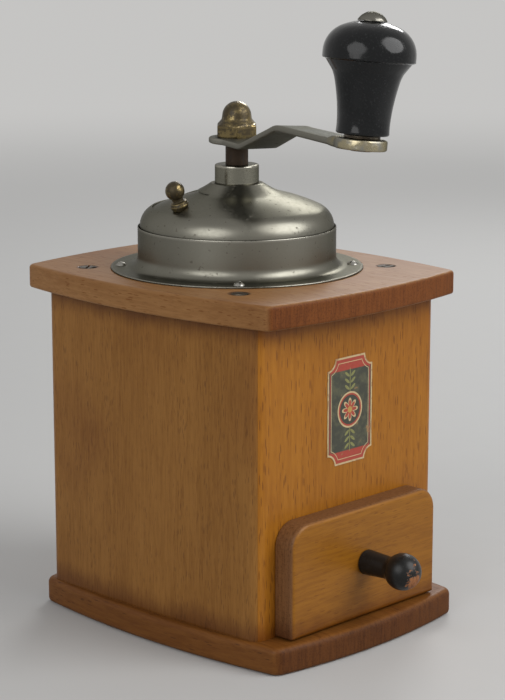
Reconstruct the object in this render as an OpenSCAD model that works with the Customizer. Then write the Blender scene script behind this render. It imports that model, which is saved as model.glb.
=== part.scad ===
// Box coffee grinder: a beech box with a drawer, a sheet steel dome over the mill and a crank on top.
// The origin is on the spindle's axis, in the plane that the base rests on. The drawer faces -Y.

/* [Base plate] */
// How far the base plate's corners reach past the box's sides
base_side_reach = 0.6; // [0.5:0.1:12]
// How far the base plate's corners reach past the box's front
base_front_reach = 11.2; // [4:0.1:20]
// How far the base plate's corners reach past the box's back
base_back_reach = 3.6; // [1:0.1:20]
// Thickness of the base plate
base_t = 11.1; // [8:0.1:16]
// Outward bow of the base plate's long sides
base_side_bow = 6; // [2:0.1:9]
// Outward bow of the base plate's front and back
base_end_bow = 5.6; // [2:0.1:9]
// Radius of the base plate's corners
base_corner_r = 5; // [2:0.1:8]

/* [Box] */
// Width of the box between its corners
body_w = 107.2; // [98:0.1:120]
// Distance from the spindle's axis to the box's front face
body_front = 63; // [58:0.1:70]
// Distance from the spindle's axis to the box's back face
body_back = 59; // [52:0.1:70]
// Height of the box between its two plates
body_h = 126.4; // [116:0.1:150]
// Thickness of the box's panels at their edges
panel_t = 12; // [9:0.1:13]
// Outward bow of the side panels
body_bow = 2.5; // [0.5:0.1:5]
// Radius of the box's upright corners
body_corner_r = 5; // [3:0.1:9]

/* [Top plate] */
// How far the top plate's corners reach past the box's sides
top_side_reach = 2.6; // [0.5:0.1:12]
// How far the top plate's corners reach past the box's front
top_front_reach = 8.2; // [2:0.1:20]
// How far the top plate's corners reach past the box's back
top_back_reach = 8.9; // [2:0.1:20]
// Thickness of the top plate
top_t = 9.8; // [8:0.1:14]
// Outward bow of the top plate's long sides
top_side_bow = 7.6; // [2:0.1:9]
// Outward bow of the top plate's front and back
top_end_bow = 5.5; // [2:0.1:9]
// Radius of the top plate's corners
top_corner_r = 3.5; // [2:0.1:8]

/* [Wood screws] */
// Distance of the top screws in from the box's side faces
top_screw_in = 9.6; // [5:0.1:12]
// Distance of the top screws from the spindle's axis, along Y
top_screw_y = 44; // [40:0.1:45]
// Distance of the base screws from the spindle's axis, along Y
base_screw_at = 40; // [30:0.1:43]
// Diameter of a wood screw's head
wood_head_d = 7.2; // [6:0.1:8]
// Diameter of a wood screw's shank
wood_shank_d = 3.5; // [2.5:0.1:4]
// Length of a wood screw
wood_screw_l = 30; // [22:0.5:40]

/* [Drawer] */
// Width of the drawer's front board
front_w = 87.6; // [84:0.1:92]
// Height of the drawer's front board
front_h = 46.2; // [44:0.1:60]
// Thickness of the drawer's front board
front_t = 9.6; // [7:0.1:12]
// Radius of the front board's upper corners
front_r = 9.5; // [3:0.1:14]
// Height of the drawer's opening in the box
opening_h = 41; // [34:0.1:42]
// Room between the closed drawer and the box's back
drawer_room = 3.1; // [1:0.1:30]
// Thickness of the drawer's sides and back
drawer_side_t = 5; // [3:0.1:7]
// Thickness of the drawer's bottom
drawer_bottom_t = 3; // [2:0.1:5]
// Running gap round the drawer
drawer_gap = 0.5; // [0.3:0.1:1]

/* [Drawer knob] */
// Length of the drawer's knob
knob_l = 26.8; // [22:0.1:34]
// Diameter of the drawer knob's ball
knob_ball_d = 15; // [12:0.1:20]
// Diameter of the drawer knob's foot
knob_foot_d = 10.4; // [9:0.1:14]
// Diameter of the drawer knob's neck
knob_neck_d = 9.4; // [7:0.1:10]
// Height of the drawer's knob above the front board's lower edge
knob_up = 23; // [18:0.1:30]

/* [Cover ring] */
// How far the cover ring's flange reaches past its screw heads
flange_edge = 1.9; // [0.5:0.1:4]
// Outer diameter of the cover ring's wall
ring_d = 82.6; // [80:0.1:86]
// Height of the cover ring over the top plate
ring_h = 17.4; // [14:0.1:24]
// Thickness of the cover ring's sheet
ring_t = 0.8; // [0.6:0.1:1.2]
// Radius of the bend between the cover ring's wall and flange
flare_r = 4.4; // [3:0.1:6]

/* [Dome] */
// Rise of the dome over the cover ring
dome_rise = 15.8; // [14:0.1:24]
// Radius of the dome's shoulder
shoulder_r = 9; // [6:0.1:10]
// Thickness of the dome's sheet
dome_t = 0.8; // [0.6:0.1:1]
// Height of the raised lip round the collar
lip_h = 2.1; // [1:0.1:4]

/* [Hatch] */
// Inner radius of the hatch opening
hatch_in_r = 16; // [14:0.1:20]
// Outer radius of the hatch opening
hatch_out_r = 35.3; // [34:0.1:37]
// Direction of the hatch opening's front end
hatch_from = 182; // [170:1:200]
// Angle that the hatch opening takes up
hatch_angle = 90; // [60:1:110]
// Thickness of the slider
slider_t = 0.7; // [0.5:0.1:1]
// Running gap between the slider and the dome
slider_gap = 0.4; // [0.3:0.1:0.6]
// Distance of the hatch knob in from the opening's outer edge
hatch_knob_in = 5.3; // [4.3:0.1:8]
// Diameter of the hatch knob's ball
hatch_ball_d = 7.9; // [6:0.1:9]
// Diameter of the hatch knob's foot
hatch_foot_d = 7.8; // [6:0.1:8]
// Height of the hatch knob's ball centre over the dome
hatch_ball_up = 7.3; // [6:0.1:10]

/* [Collar and spindle] */
// Diameter of the collar
collar_d = 18.3; // [17:0.1:22]
// Height of the collar over the dome's lip
collar_h = 7.7; // [5:0.1:12]
// Diameter of the collar's spigot in the dome
spigot_d = 13; // [12:0.1:14]
// Diameter of the spindle
spindle_d = 9.4; // [8:0.1:10]
// Radial gap of the spindle in its bearings
bearing_gap = 0.05; // [0.02:0.01:0.1]
// Height of the crank's hub over the collar
hub_up = 8.8; // [5:0.1:14]

/* [Crank] */
// Direction that the crank points in
crank_angle = -117; // [-180:1:180]
// Length of the crank from the spindle to the grip's pin
crank_l = 135.8; // [115:0.1:160]
// Thickness of the crank's strip
strip_t = 2.5; // [2:0.1:3]
// Radius of the crank's hub
hub_r = 11.6; // [10:0.1:14]
// Distance from the spindle to the crank's first bend
bend1_at = 25.4; // [18:0.1:30]
// Distance from the spindle to the crank's second bend
bend2_at = 63.3; // [50:0.1:75]
// Rise of the crank between its two bends
crank_rise = 11.1; // [4:0.1:20]
// Rise of the crank from its second bend to its end
crank_end_rise = 1.4; // [0:0.1:6]
// Sideways lean of the crank's outer part, in degrees
crank_lean = 5.3; // [0:0.1:8]
// Width of the strip at its first bend
strip_w1 = 16.6; // [14:0.1:19]
// Width of the strip at its second bend
strip_w2 = 14.4; // [12:0.1:18]
// Diameter of the boss at the crank's end
boss_d = 18.4; // [15:0.1:22]
// Thickness of the boss at the crank's end
boss_t = 4; // [3.2:0.1:6]

/* [Cap nut] */
// Width across the cap nut's flats
nut_af = 16; // [13:0.1:19]
// Height of the cap nut's hexagon
nut_hex_h = 5.6; // [4:0.1:8]
// Diameter of the cap nut's round top
nut_top_d = 12; // [10:0.1:13]
// Whole height of the cap nut
nut_h = 14.6; // [12:0.1:18]
// How far the cap nut is turned from the crank's direction
nut_turn = -19; // [-30:1:30]

/* [Grip] */
// Diameter of the grip's cap
grip_d = 33.2; // [30:0.1:40]
// Height of the grip's cap
grip_cap_h = 13.8; // [12:0.1:16]
// Height of the upright side of the grip's cap
grip_side_h = 2; // [0.5:0.1:3]
// How far the top of the grip's cap rises over the radius of its shoulder
grip_cap_rise = 1.3; // [1:0.1:5]
// Height of the grip's stem
stem_h = 26.3; // [20:0.1:34]
// Diameter of the stem at its foot
stem_foot_d = 18.6; // [16:0.1:22]
// Diameter of the stem under the cap
stem_top_d = 26; // [22:0.1:28]
// Diameter of the grip's pin
pin_d = 5.8; // [4:0.1:7]
// Diameter of the pin's head
pin_head_d = 10.8; // [9:0.1:13]
// Height of the pin's head
pin_head_h = 3.4; // [2:0.1:4]
// Thickness of the washer under the grip
washer_t = 1.2; // [0.8:0.1:2]

/* [Mill] */
// Diameter of the hopper's flange
hopper_d = 90; // [88:0.1:91]
// Thickness of the hopper's flange
hopper_flange_t = 1.6; // [1:0.1:2.5]
// Diameter of the hopper's mouth
mouth_d = 64; // [58:0.1:65]
// Thickness of the hopper's wall
hopper_wall = 2.4; // [2:0.1:2.6]
// Height of the hopper's neck over the base plate's underside
neck_z = 82; // [76:0.1:90]
// Outer diameter of the hopper's neck
neck_d = 40; // [38:0.1:44]
// Diameter of the burr's seat in the neck
seat_d = 34; // [32:0.1:35]
// Height of the outer burr
burr_h = 20.8; // [16:0.1:24]
// Radius of the inner burr at its foot
burr_r = 14; // [12:0.1:14.5]
// Gap between the burrs at their foot
burr_gap = 0.8; // [0.7:0.1:1.2]
// Height of the adjusting nut
adjuster_h = 7.4; // [5:0.1:9]
// Diameter of the adjusting nut
adjuster_d = 20; // [16:0.1:24]
// Width of the two bridges
bridge_w = 14; // [12:0.1:18]
// Thickness of the two bridges
bridge_t = 2.5; // [2:0.1:3.5]
// Distance from the neck's foot down to the lower bridge
bridge_drop = 15.5; // [13:0.1:18]

/* [Label] */
// Width of the label on the box's front
label_w = 27; // [18:0.5:40]
// Height of the label on the box's front
label_h = 44; // [30:0.5:60]
// Height of the label's middle over the table
label_z = 96.5; // [92:0.5:102]

/* [Hidden] */
$fn = 96;
bow_fn = 720;
fit = 0.05;
seat_gap = 0.1;
turn_gap = 0.3;
over = 1;
far = 60;
spread = 1.5;
crown_ease = 0.999;

box_z = base_t;
plate_z = box_z + body_h;
deck_z = plate_z + top_t;
inner_x = body_w / 2 - panel_t;
inner_front = body_front - panel_t;
inner_back = body_back - panel_t;

top_screw_x = body_w / 2 - top_screw_in;
base_screw_x = inner_x + panel_t / 2;
wood_head_h = (wood_head_d - wood_shank_d) / 2;
wood_point_d = 0.6;
wood_slot_w = 1;
wood_slot_h = 0.9;
label_t = 0.2;
label_notch_r = 4.5;

machine_head_d = 4.9;
machine_shank_d = 2.6;
machine_slot_w = 0.7;
flange_screw_r = ring_d / 2 + flare_r + machine_head_d / 2 + seat_gap;
flange_r = flange_screw_r + machine_head_d / 2 + flange_edge;
flange_screw_l = 7;
flange_head_h = 1.4;
bridge_head_h = 1.6;
first_screw = 45;
screw_step = 90;

dome_z = deck_z + ring_h;
dome_r = ring_d / 2 - ring_t - seat_gap;
crown_r = crown(dome_r, dome_rise, shoulder_r);
crown_z = dome_z + dome_rise;
lip_edge = 1;
lip_slope_w = 3.6;
lip_r = collar_d / 2 + lip_edge;
lip_foot_r = lip_r + lip_slope_w;
collar_z = crown_z + lip_h;
hub_z = collar_z + collar_h + hub_up;
collar_edge = 0.8;

slider_off = dome_t + slider_gap;
slider_reach = 1.6;
slider_ring_w = 5;
slider_r = hatch_out_r + slider_reach;
slider_ring_r = spigot_d / 2 + slider_ring_w;
slider_lap = 4;
hatch_knob_r = hatch_out_r - hatch_knob_in;
hatch_foot_half = asin((hatch_foot_d / 2 + slider_gap) / hatch_knob_r);
hatch_knob_at = hatch_from - hatch_foot_half;
hatch_tilt = asin(hatch_knob_r / crown_r);
hatch_shank_d = 2.6;
hatch_foot_h = 3.2;
hatch_neck_d = 4.4;
hatch_rivet_h = 0.7;
keeper_t = 1.4;
keeper_w = 4;
keeper_r = spigot_d / 2 + keeper_w;
keeper_z = crown_low(keeper_r, slider_off + slider_t) - turn_gap - keeper_t;
spigot_z = keeper_z - 1;

square_w = 7;
thread_d = square_w + 2 * fit;
nut_wall = 2;
nut_edge = 0.4;
nut_cone_in = 0.5;
crank_mid = strip_t / 2;
bend_slope = atan(crank_rise / (bend2_at - bend1_at));
end_slope = atan(crank_end_rise / (crank_l - bend2_at));
boss_up = 1.2;
boss_edge = 0.6;
hub_edge_w = 19.5;

grip_z = washer_t + 2 * seat_gap;
grip_top = grip_z + stem_h + grip_cap_h;
pin_head_lap = 0.8;
grip_flat_r = pin_head_d / 2 - pin_head_lap;
grip_dome_h = grip_cap_h - grip_side_h;
grip_cap_r = grip_dome_h - grip_cap_rise;
grip_crown = crown(grip_d / 2, grip_dome_h, grip_cap_r);
grip_flat = grip_top - (grip_crown - sqrt(grip_crown * grip_crown - grip_flat_r * grip_flat_r));
grip_bore_d = pin_d + 2 * seat_gap;
peen_d = 8.6;
peen_edge = 0.6;
peen_h = 1.2;
washer_d = 13;

hopper_z = deck_z - hopper_flange_t;
recess_gap = 0.3;
recess_d = hopper_d + 2 * recess_gap;
well_d = mouth_d + 2 * hopper_wall + 2 * recess_gap;
rim_z = hopper_z - top_t;
shelf_t = 3;
throat_edge = 1.4;
seat_z = neck_z + burr_h + fit;
cone_z = seat_z + shelf_t;
burr_z = neck_z + 1;
burr_top_r = 6.6;
outer_flare = 2.2;
tooth_w = 1.5;
tooth_out = 0.2;
adjuster_gap = 0.2;
adjuster_z = burr_z - adjuster_gap - adjuster_h;
adjuster_notch_d = 3;
bridge_z = neck_z - bridge_drop;
bush_wall = 1.8;
bush_r = spindle_d / 2 + bearing_gap + bush_wall;
bush_up = 3;
eye_w = 3;
eye_r = bush_r + eye_w;
skirt_r = dome_r - dome_t;
upper_l = sqrt(pow(skirt_r - turn_gap, 2) - bridge_w * bridge_w / 4);
bridge_screw_in = 4;
bridge_screw_l = bridge_t + hopper_flange_t + bridge_screw_in;
upper_screw_at = (well_d / 2 + skirt_r) / 2 - turn_gap;
leg_x = neck_d / 2 + 2 * seat_gap;
leg_screw_up = 5.5;
leg_end = 4.5;
leg_h = bridge_drop + leg_screw_up + leg_end;
leg_screw_skin = 0.6;
leg_screw_in = (neck_d - seat_d) / 2 - leg_screw_skin;
spring_wire = 1.4;
spring_gap = 0.6;
spring_r = spindle_d / 2 + spring_gap;
spring_foot = burr_z + burr_h + 2 * seat_gap;
spring_head = deck_z - bush_up - 2 * seat_gap;

drawer_z = box_z + drawer_gap / 2;
drawer_w = 2 * inner_x - 2 * drawer_gap;
drawer_top = box_z + opening_h - drawer_gap;
front_z = box_z + drawer_gap;
front_back = body_front + seat_gap;
drawer_l = front_back + inner_back - drawer_room;
drawer_pin_d = 1.6;
drawer_pin_l = 16;
drawer_pin_up = 12;
drawer_pin_step = 20;
knob_foot_t = 1.6;
knob_screw_d = 3.4;
knob_screw_in = 12;
knob_screw_head_d = 6.6;
knob_screw_head_h = 1.8;

// Radius of an arc from its half chord and its bow
function bow_radius(half, bow) = (half * half + bow * bow) / (2 * bow);

// Radius of the crown arc over a shoulder arc, for a cap of the given radius and rise. It is a thousandth
// under the arc that would only touch the shoulder, so that the two cross where they meet.
function crown(r, rise, shoulder) =
    crown_ease * (pow(r - shoulder, 2) + rise * rise - shoulder * shoulder) / (2 * (rise - shoulder));

// Height of the dome's crown at radius r, measured on a surface that lies off inside it
function crown_low(r, off) = crown_z - crown_r + sqrt(pow(crown_r - off, 2) - r * r);

// Centre of a corner's rounding: it lies reach_a from [ax, 0] and reach_b from [0, by]
function corner_centre(ax, by, reach_a, reach_b) =
    let (d = norm([ax, by]))
    let (along = (reach_a * reach_a - reach_b * reach_b + d * d) / (2 * d))
    let (aside = sqrt(reach_a * reach_a - along * along))
    [ax - ax / d * along - by / d * aside, by / d * along - ax / d * aside];

function unit(v) = v / norm(v);

// What a rounded corner takes away: the wedge between two directions, outside the rounding
module corner_cut(centre, dir_a, dir_b, r, h) {
    reach = spread * r;
    translate([centre[0], centre[1], -over])
        difference() {
            linear_extrude(h + 2 * over)
                polygon([[0, 0], dir_a * reach, (dir_a + dir_b) * reach, dir_b * reach]);
            translate([0, 0, -over])
                cylinder(r = r, h = h + 4 * over);
        }
}

// A board with four bowed sides and rounded corners
module bowed_board(w, front, back, side_bow, end_bow, corner_r, h) {
    half_x = w / 2;
    half_y = (front + back) / 2;
    side_r = bow_radius(half_y, side_bow);
    end_r = bow_radius(half_x, end_bow);
    ax = half_x + side_bow - side_r;
    by = half_y + end_bow - end_r;
    centre = corner_centre(ax, by, side_r - corner_r, end_r - corner_r);
    translate([0, (back - front) / 2, 0])
        difference() {
            intersection() {
                translate([ax, 0, 0])
                    cylinder(r = side_r, h = h, $fn = bow_fn);
                translate([-ax, 0, 0])
                    cylinder(r = side_r, h = h, $fn = bow_fn);
                translate([0, by, 0])
                    cylinder(r = end_r, h = h, $fn = bow_fn);
                translate([0, -by, 0])
                    cylinder(r = end_r, h = h, $fn = bow_fn);
            }
            for (mx = [0, 1], my = [0, 1])
                mirror([mx, 0, 0])
                    mirror([0, my, 0])
                        corner_cut(centre, unit(centre - [ax, 0]), unit(centre - [0, by]), corner_r, h);
        }
}

// The box's outline, standing on its own foot
module box_block(h) {
    half_x = body_w / 2;
    half_y = (body_front + body_back) / 2;
    side_r = bow_radius(half_y, body_bow);
    ax = half_x + body_bow - side_r;
    reach = side_r - body_corner_r;
    cy = half_y - body_corner_r;
    centre = [ax + sqrt(reach * reach - cy * cy), cy];
    translate([0, (body_back - body_front) / 2, 0])
        difference() {
            intersection() {
                translate([ax, 0, 0])
                    cylinder(r = side_r, h = h, $fn = bow_fn);
                translate([-ax, 0, 0])
                    cylinder(r = side_r, h = h, $fn = bow_fn);
                translate([-body_w, -half_y, 0])
                    cube([2 * body_w, 2 * half_y, h]);
            }
            for (mx = [0, 1], my = [0, 1])
                mirror([mx, 0, 0])
                    mirror([0, my, 0])
                        corner_cut(centre, unit(centre - [ax, 0]), [0, 1], body_corner_r, h);
        }
}

// One mitred panel of the box, from the box's outline and a wedge seen from above
module panel(wedge) {
    difference() {
        translate([0, 0, box_z])
            difference() {
                intersection() {
                    box_block(body_h);
                    linear_extrude(body_h)
                        polygon(wedge);
                }
                translate([-inner_x, -inner_front, -over])
                    cube([2 * inner_x, inner_front + inner_back, body_h + 2 * over]);
            }
        at_top_screws()
            wood_bore();
        at_base_screws()
            wood_bore();
    }
}

module side_panel() {
    panel([[inner_x, -inner_front], [inner_x, inner_back],
           [inner_x + far, inner_back + far], [inner_x + far, -inner_front - far]]);
}

// Places its children at the four screws of the top plate, with Z up
module at_top_screws() {
    for (sx = [-1, 1], sy = [-1, 1])
        translate([sx * top_screw_x, sy * top_screw_y, deck_z])
            rotate([0, 0, 20 + 35 * sx + 50 * sy])
                children();
}

// Places its children at the four screws of the base plate, with Z down
module at_base_screws() {
    for (sx = [-1, 1], sy = [-1, 1])
        translate([sx * base_screw_x, sy * base_screw_at, 0])
            mirror([0, 0, 1])
                rotate([0, 0, 10 + 40 * sx + 25 * sy])
                    children();
}

// A slotted wood screw with its head flush at z = 0 and its point down
module wood_screw() {
    difference() {
        union() {
            translate([0, 0, -wood_head_h])
                cylinder(d1 = wood_shank_d, d2 = wood_head_d, h = wood_head_h);
            translate([0, 0, -wood_screw_l + wood_shank_d])
                cylinder(d = wood_shank_d, h = wood_screw_l - wood_shank_d - wood_head_h);
            translate([0, 0, -wood_screw_l])
                cylinder(d1 = wood_point_d, d2 = wood_shank_d, h = wood_shank_d);
        }
        translate([-wood_head_d, -wood_slot_w / 2, -wood_slot_h])
            cube([2 * wood_head_d, wood_slot_w, wood_slot_h + over]);
    }
}

// The hole that a wood screw sits in
module wood_bore() {
    translate([0, 0, -wood_head_h - fit])
        cylinder(d1 = wood_shank_d + 2 * fit, d2 = wood_head_d + 2 * fit, h = wood_head_h + fit);
    translate([0, 0, -wood_screw_l - fit])
        cylinder(d = wood_shank_d + 2 * fit, h = wood_screw_l);
    cylinder(d = wood_head_d + 2 * fit, h = over);
}

// A small round-headed screw with its seat at z = 0 and its point down
module machine_screw(length, head_h) {
    head_r = machine_head_d / 2;
    ball_r = (head_r * head_r + head_h * head_h) / (2 * head_h);
    difference() {
        union() {
            intersection() {
                translate([0, 0, head_h - ball_r])
                    sphere(r = ball_r);
                cylinder(r = machine_head_d, h = head_h + over);
            }
            translate([0, 0, -length])
                cylinder(d = machine_shank_d, h = length + head_h / 2);
        }
        translate([-machine_head_d, -machine_slot_w / 2, head_h - machine_slot_w])
            cube([2 * machine_head_d, machine_slot_w, over]);
    }
}

module machine_bore(length) {
    translate([0, 0, -length - fit])
        cylinder(d = machine_shank_d + 2 * fit, h = length + fit + over);
}

// The flat shape under a cap with a shoulder arc and a crown arc, drawn off inside the cap's surface
module cap_2d(r, rise, shoulder, off) {
    top_r = crown(r, rise, shoulder);
    split = (r - shoulder) * (top_r - off) / (top_r - shoulder);
    intersection() {
        translate([0, rise - top_r])
            circle(r = top_r - off, $fn = bow_fn);
        union() {
            square([split, rise]);
            intersection() {
                translate([r - shoulder, 0])
                    circle(r = shoulder - off);
                square([r, rise]);
            }
        }
    }
}

// The solid under the dome and a skirt, drawn off inside the dome's surface
module dome_body(off, skirt_h = 0) {
    translate([0, 0, dome_z])
        rotate_extrude() {
            cap_2d(dome_r, dome_rise, shoulder_r, off);
            if (skirt_h > 0)
                translate([0, -skirt_h])
                    square([dome_r - off, skirt_h]);
        }
}

// An upright wedge round the axis, from one direction through an angle under 180 degrees
module wedge(from, angle, r, z, h) {
    translate([0, 0, z])
        linear_extrude(h)
            polygon([[0, 0], r * [cos(from), sin(from)],
                     spread * r * [cos(from - angle / 2), sin(from - angle / 2)],
                     r * [cos(from - angle), sin(from - angle)]]);
}

module base_plate() {
    color("peru")
        difference() {
            bowed_board(body_w + 2 * base_side_reach, body_front + base_front_reach,
                        body_back + base_back_reach, base_side_bow, base_end_bow, base_corner_r, base_t);
            at_base_screws()
                wood_bore();
        }
}

module front_panel() {
    color("burlywood")
        difference() {
            panel([[-inner_x, -inner_front], [inner_x, -inner_front],
                   [inner_x + far, -inner_front - far], [-inner_x - far, -inner_front - far]]);
            translate([-inner_x, -body_front - over, box_z - over])
                cube([2 * inner_x, panel_t + 2 * over, opening_h + over]);
        }
}

module back_panel() {
    color("burlywood")
        panel([[-inner_x, inner_back], [inner_x, inner_back],
               [inner_x + far, inner_back + far], [-inner_x - far, inner_back + far]]);
}

module right_panel() {
    color("burlywood")
        side_panel();
}

module left_panel() {
    color("burlywood")
        mirror([1, 0, 0])
            side_panel();
}

module top_plate() {
    color("peru")
        difference() {
            translate([0, 0, plate_z])
                bowed_board(body_w + 2 * top_side_reach, body_front + top_front_reach,
                            body_back + top_back_reach, top_side_bow, top_end_bow, top_corner_r, top_t);
            translate([0, 0, plate_z - over])
                cylinder(d = well_d, h = top_t + 2 * over);
            translate([0, 0, hopper_z])
                cylinder(d = recess_d, h = hopper_flange_t + over);
            at_top_screws()
                wood_bore();
            at_flange_screws()
                machine_bore(flange_screw_l);
            at_bridge_screws()
                machine_bore(bridge_screw_l - bridge_t);
        }
}

module top_screws() {
    color("saddlebrown")
        at_top_screws()
            wood_screw();
}

module base_screws() {
    color("saddlebrown")
        at_base_screws()
            wood_screw();
}

module front_label() {
    color("darkolivegreen")
        translate([0, -body_front, label_z])
            rotate([90, 0, 0])
                difference() {
                    translate([-label_w / 2, -label_h / 2, 0])
                        cube([label_w, label_h, label_t]);
                    for (sx = [-1, 1], sy = [-1, 1])
                        translate([sx * label_w / 2, sy * label_h / 2, -over])
                            cylinder(r = label_notch_r, h = label_t + 2 * over);
                }
}

// Places its children at the four screws of the cover ring, level with the top plate
module at_flange_screws() {
    for (a = [first_screw:screw_step:360])
        rotate([0, 0, a])
            translate([flange_screw_r, 0, deck_z])
                rotate([0, 0, 1.3 * a])
                    children();
}

module cover_ring() {
    wall_r = ring_d / 2;
    bend_x = wall_r + flare_r;
    color("darkgray")
        difference() {
            translate([0, 0, deck_z])
                rotate_extrude() {
                    translate([wall_r - ring_t, ring_t + flare_r])
                        square([ring_t, ring_h - ring_t - flare_r]);
                    translate([bend_x, 0])
                        square([flange_r - bend_x, ring_t]);
                    difference() {
                        intersection() {
                            translate([bend_x, ring_t + flare_r])
                                circle(r = flare_r + ring_t);
                            square([bend_x, ring_t + flare_r]);
                        }
                        translate([bend_x, ring_t + flare_r])
                            circle(r = flare_r);
                    }
                }
            at_flange_screws()
                machine_bore(over);
        }
}

module flange_screws() {
    color("silver")
        at_flange_screws()
            translate([0, 0, ring_t])
                machine_screw(flange_screw_l, flange_head_h);
}

module dome_cover() {
    color("darkgray")
        difference() {
            union() {
                dome_body(0, ring_h - seat_gap);
                translate([0, 0, crown_low(lip_foot_r, dome_t / 2)])
                    cylinder(r1 = lip_foot_r, r2 = lip_r, h = collar_z - crown_low(lip_foot_r, dome_t / 2));
            }
            dome_body(dome_t, ring_h);
            translate([0, 0, dome_z])
                cylinder(d = spigot_d + 2 * fit, h = 2 * dome_rise);
            difference() {
                wedge(hatch_from, hatch_angle, 2 * hatch_out_r, dome_z, 2 * dome_rise);
                translate([0, 0, dome_z - over])
                    cylinder(r = hatch_in_r, h = 2 * dome_rise + 2 * over);
                translate([0, 0, dome_z - over])
                    difference() {
                        cylinder(r = 4 * hatch_out_r, h = 2 * dome_rise + 2 * over);
                        translate([0, 0, -over])
                            cylinder(r = hatch_out_r, h = 2 * dome_rise + 4 * over);
                    }
            }
        }
}

module dome_collar() {
    color("darkgray")
        difference() {
            union() {
                translate([0, 0, spigot_z])
                    cylinder(d = spigot_d, h = collar_z - spigot_z + over);
                translate([0, 0, collar_z])
                    cylinder(d = collar_d, h = collar_h - collar_edge);
                translate([0, 0, collar_z + collar_h - collar_edge])
                    cylinder(d1 = collar_d, d2 = collar_d - 2 * collar_edge, h = collar_edge);
            }
            translate([0, 0, spigot_z - over])
                cylinder(r = spindle_d / 2 + bearing_gap, h = collar_z + collar_h - spigot_z + 2 * over);
        }
}

module collar_keeper() {
    color("gray")
        translate([0, 0, keeper_z])
            difference() {
                cylinder(r = keeper_r, h = keeper_t);
                translate([0, 0, -over])
                    cylinder(d = spigot_d + 2 * fit, h = keeper_t + 2 * over);
            }
}

module hatch_slider() {
    color("dimgray")
        difference() {
            intersection() {
                difference() {
                    dome_body(slider_off);
                    dome_body(slider_off + slider_t);
                }
                union() {
                    translate([0, 0, dome_z])
                        cylinder(r = slider_ring_r, h = dome_rise);
                    intersection() {
                        wedge(hatch_from + slider_lap, hatch_angle + 2 * slider_lap, 2 * slider_r,
                              dome_z, dome_rise);
                        translate([0, 0, dome_z])
                            cylinder(r = slider_r, h = dome_rise);
                    }
                }
            }
            translate([0, 0, dome_z])
                cylinder(d = spigot_d + 2 * slider_gap, h = dome_rise + over);
            at_hatch_knob()
                translate([0, 0, -slider_t - over])
                    cylinder(d = hatch_shank_d + 2 * fit, h = slider_t + 2 * over);
        }
}

// Places its children on the slider, with Z square to the dome
module at_hatch_knob() {
    rotate([0, 0, hatch_knob_at])
        translate([0, 0, crown_z - crown_r])
            rotate([0, hatch_tilt, 0])
                translate([0, 0, crown_r - slider_off])
                    children();
}

module hatch_knob() {
    ball_z = hatch_ball_up + slider_off;
    color("darkgoldenrod")
        at_hatch_knob() {
            translate([0, 0, fit])
                cylinder(d = hatch_foot_d, h = hatch_foot_h / 2);
            translate([0, 0, fit + hatch_foot_h / 2])
                cylinder(d1 = hatch_foot_d, d2 = hatch_neck_d, h = hatch_foot_h / 2);
            cylinder(d = hatch_neck_d, h = ball_z - fit);
            translate([0, 0, ball_z])
                sphere(d = hatch_ball_d);
            translate([0, 0, -slider_t - hatch_rivet_h])
                cylinder(d = hatch_shank_d, h = slider_t + hatch_rivet_h + over);
        }
}

module spindle() {
    color("sienna") {
        translate([0, 0, bridge_z - bush_up - over])
            cylinder(d = spindle_d, h = hub_z - bridge_z + bush_up + over);
        translate([-square_w / 2, -square_w / 2, hub_z - over])
            cube([square_w, square_w, strip_t + over]);
        translate([0, 0, hub_z + strip_t - over])
            cylinder(d = square_w, h = nut_h - nut_wall - over);
    }
}

// Places its children at the crank's second bend, with X along its outer part
module on_outer_strip() {
    rotate([0, 0, crank_angle])
        translate([bend2_at, 0, hub_z + crank_mid + crank_rise])
            rotate([-crank_lean, 0, 0])
                rotate([0, -end_slope, 0])
                    children();
}

// Places its children on top of the crank's boss, with Z along the grip's pin
module at_boss() {
    on_outer_strip()
        translate([(crank_l - bend2_at) / cos(end_slope), 0, crank_mid + boss_up])
            children();
}

module crank_arm() {
    outer_l = (crank_l - bend2_at) / cos(end_slope);
    rise_l = (bend2_at - bend1_at) / cos(bend_slope);
    color("silver")
        difference() {
            union() {
                rotate([0, 0, crank_angle])
                    translate([0, 0, hub_z]) {
                        cylinder(r = hub_r, h = strip_t);
                        intersection() {
                            union() {
                                translate([0, -hub_r, 0])
                                    cube([bend1_at, 2 * hub_r, strip_t]);
                                for (bend = [[bend1_at, 0], [bend2_at, crank_rise]])
                                    translate([bend[0], hub_r, bend[1] + crank_mid])
                                        rotate([90, 0, 0])
                                            cylinder(d = strip_t, h = 2 * hub_r);
                                translate([bend1_at, -hub_r, crank_mid])
                                    rotate([0, -bend_slope, 0])
                                        translate([0, 0, -crank_mid])
                                            cube([rise_l, 2 * hub_r, strip_t]);
                            }
                            translate([0, 0, -strip_t])
                                linear_extrude(crank_rise + 4 * strip_t)
                                    polygon([[0, -hub_edge_w / 2], [bend1_at, -strip_w1 / 2],
                                             [bend2_at + strip_t, -strip_w2 / 2],
                                             [bend2_at + strip_t, strip_w2 / 2],
                                             [bend1_at, strip_w1 / 2], [0, hub_edge_w / 2]]);
                        }
                    }
                on_outer_strip()
                    translate([0, 0, -crank_mid])
                        linear_extrude(strip_t)
                            polygon([[0, -strip_w2 / 2], [outer_l, -boss_d / 2 + boss_edge],
                                     [outer_l, boss_d / 2 - boss_edge], [0, strip_w2 / 2]]);
                at_boss()
                    translate([0, 0, -boss_t])
                        cylinder(d = boss_d, h = boss_t);
            }
            translate([0, 0, hub_z - over])
                translate([-square_w / 2 - fit, -square_w / 2 - fit, 0])
                    cube([square_w + 2 * fit, square_w + 2 * fit, strip_t + 2 * over]);
            at_boss()
                translate([0, 0, -boss_t - over])
                    cylinder(d = pin_d + 2 * fit, h = boss_t + 2 * over);
        }
}

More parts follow.
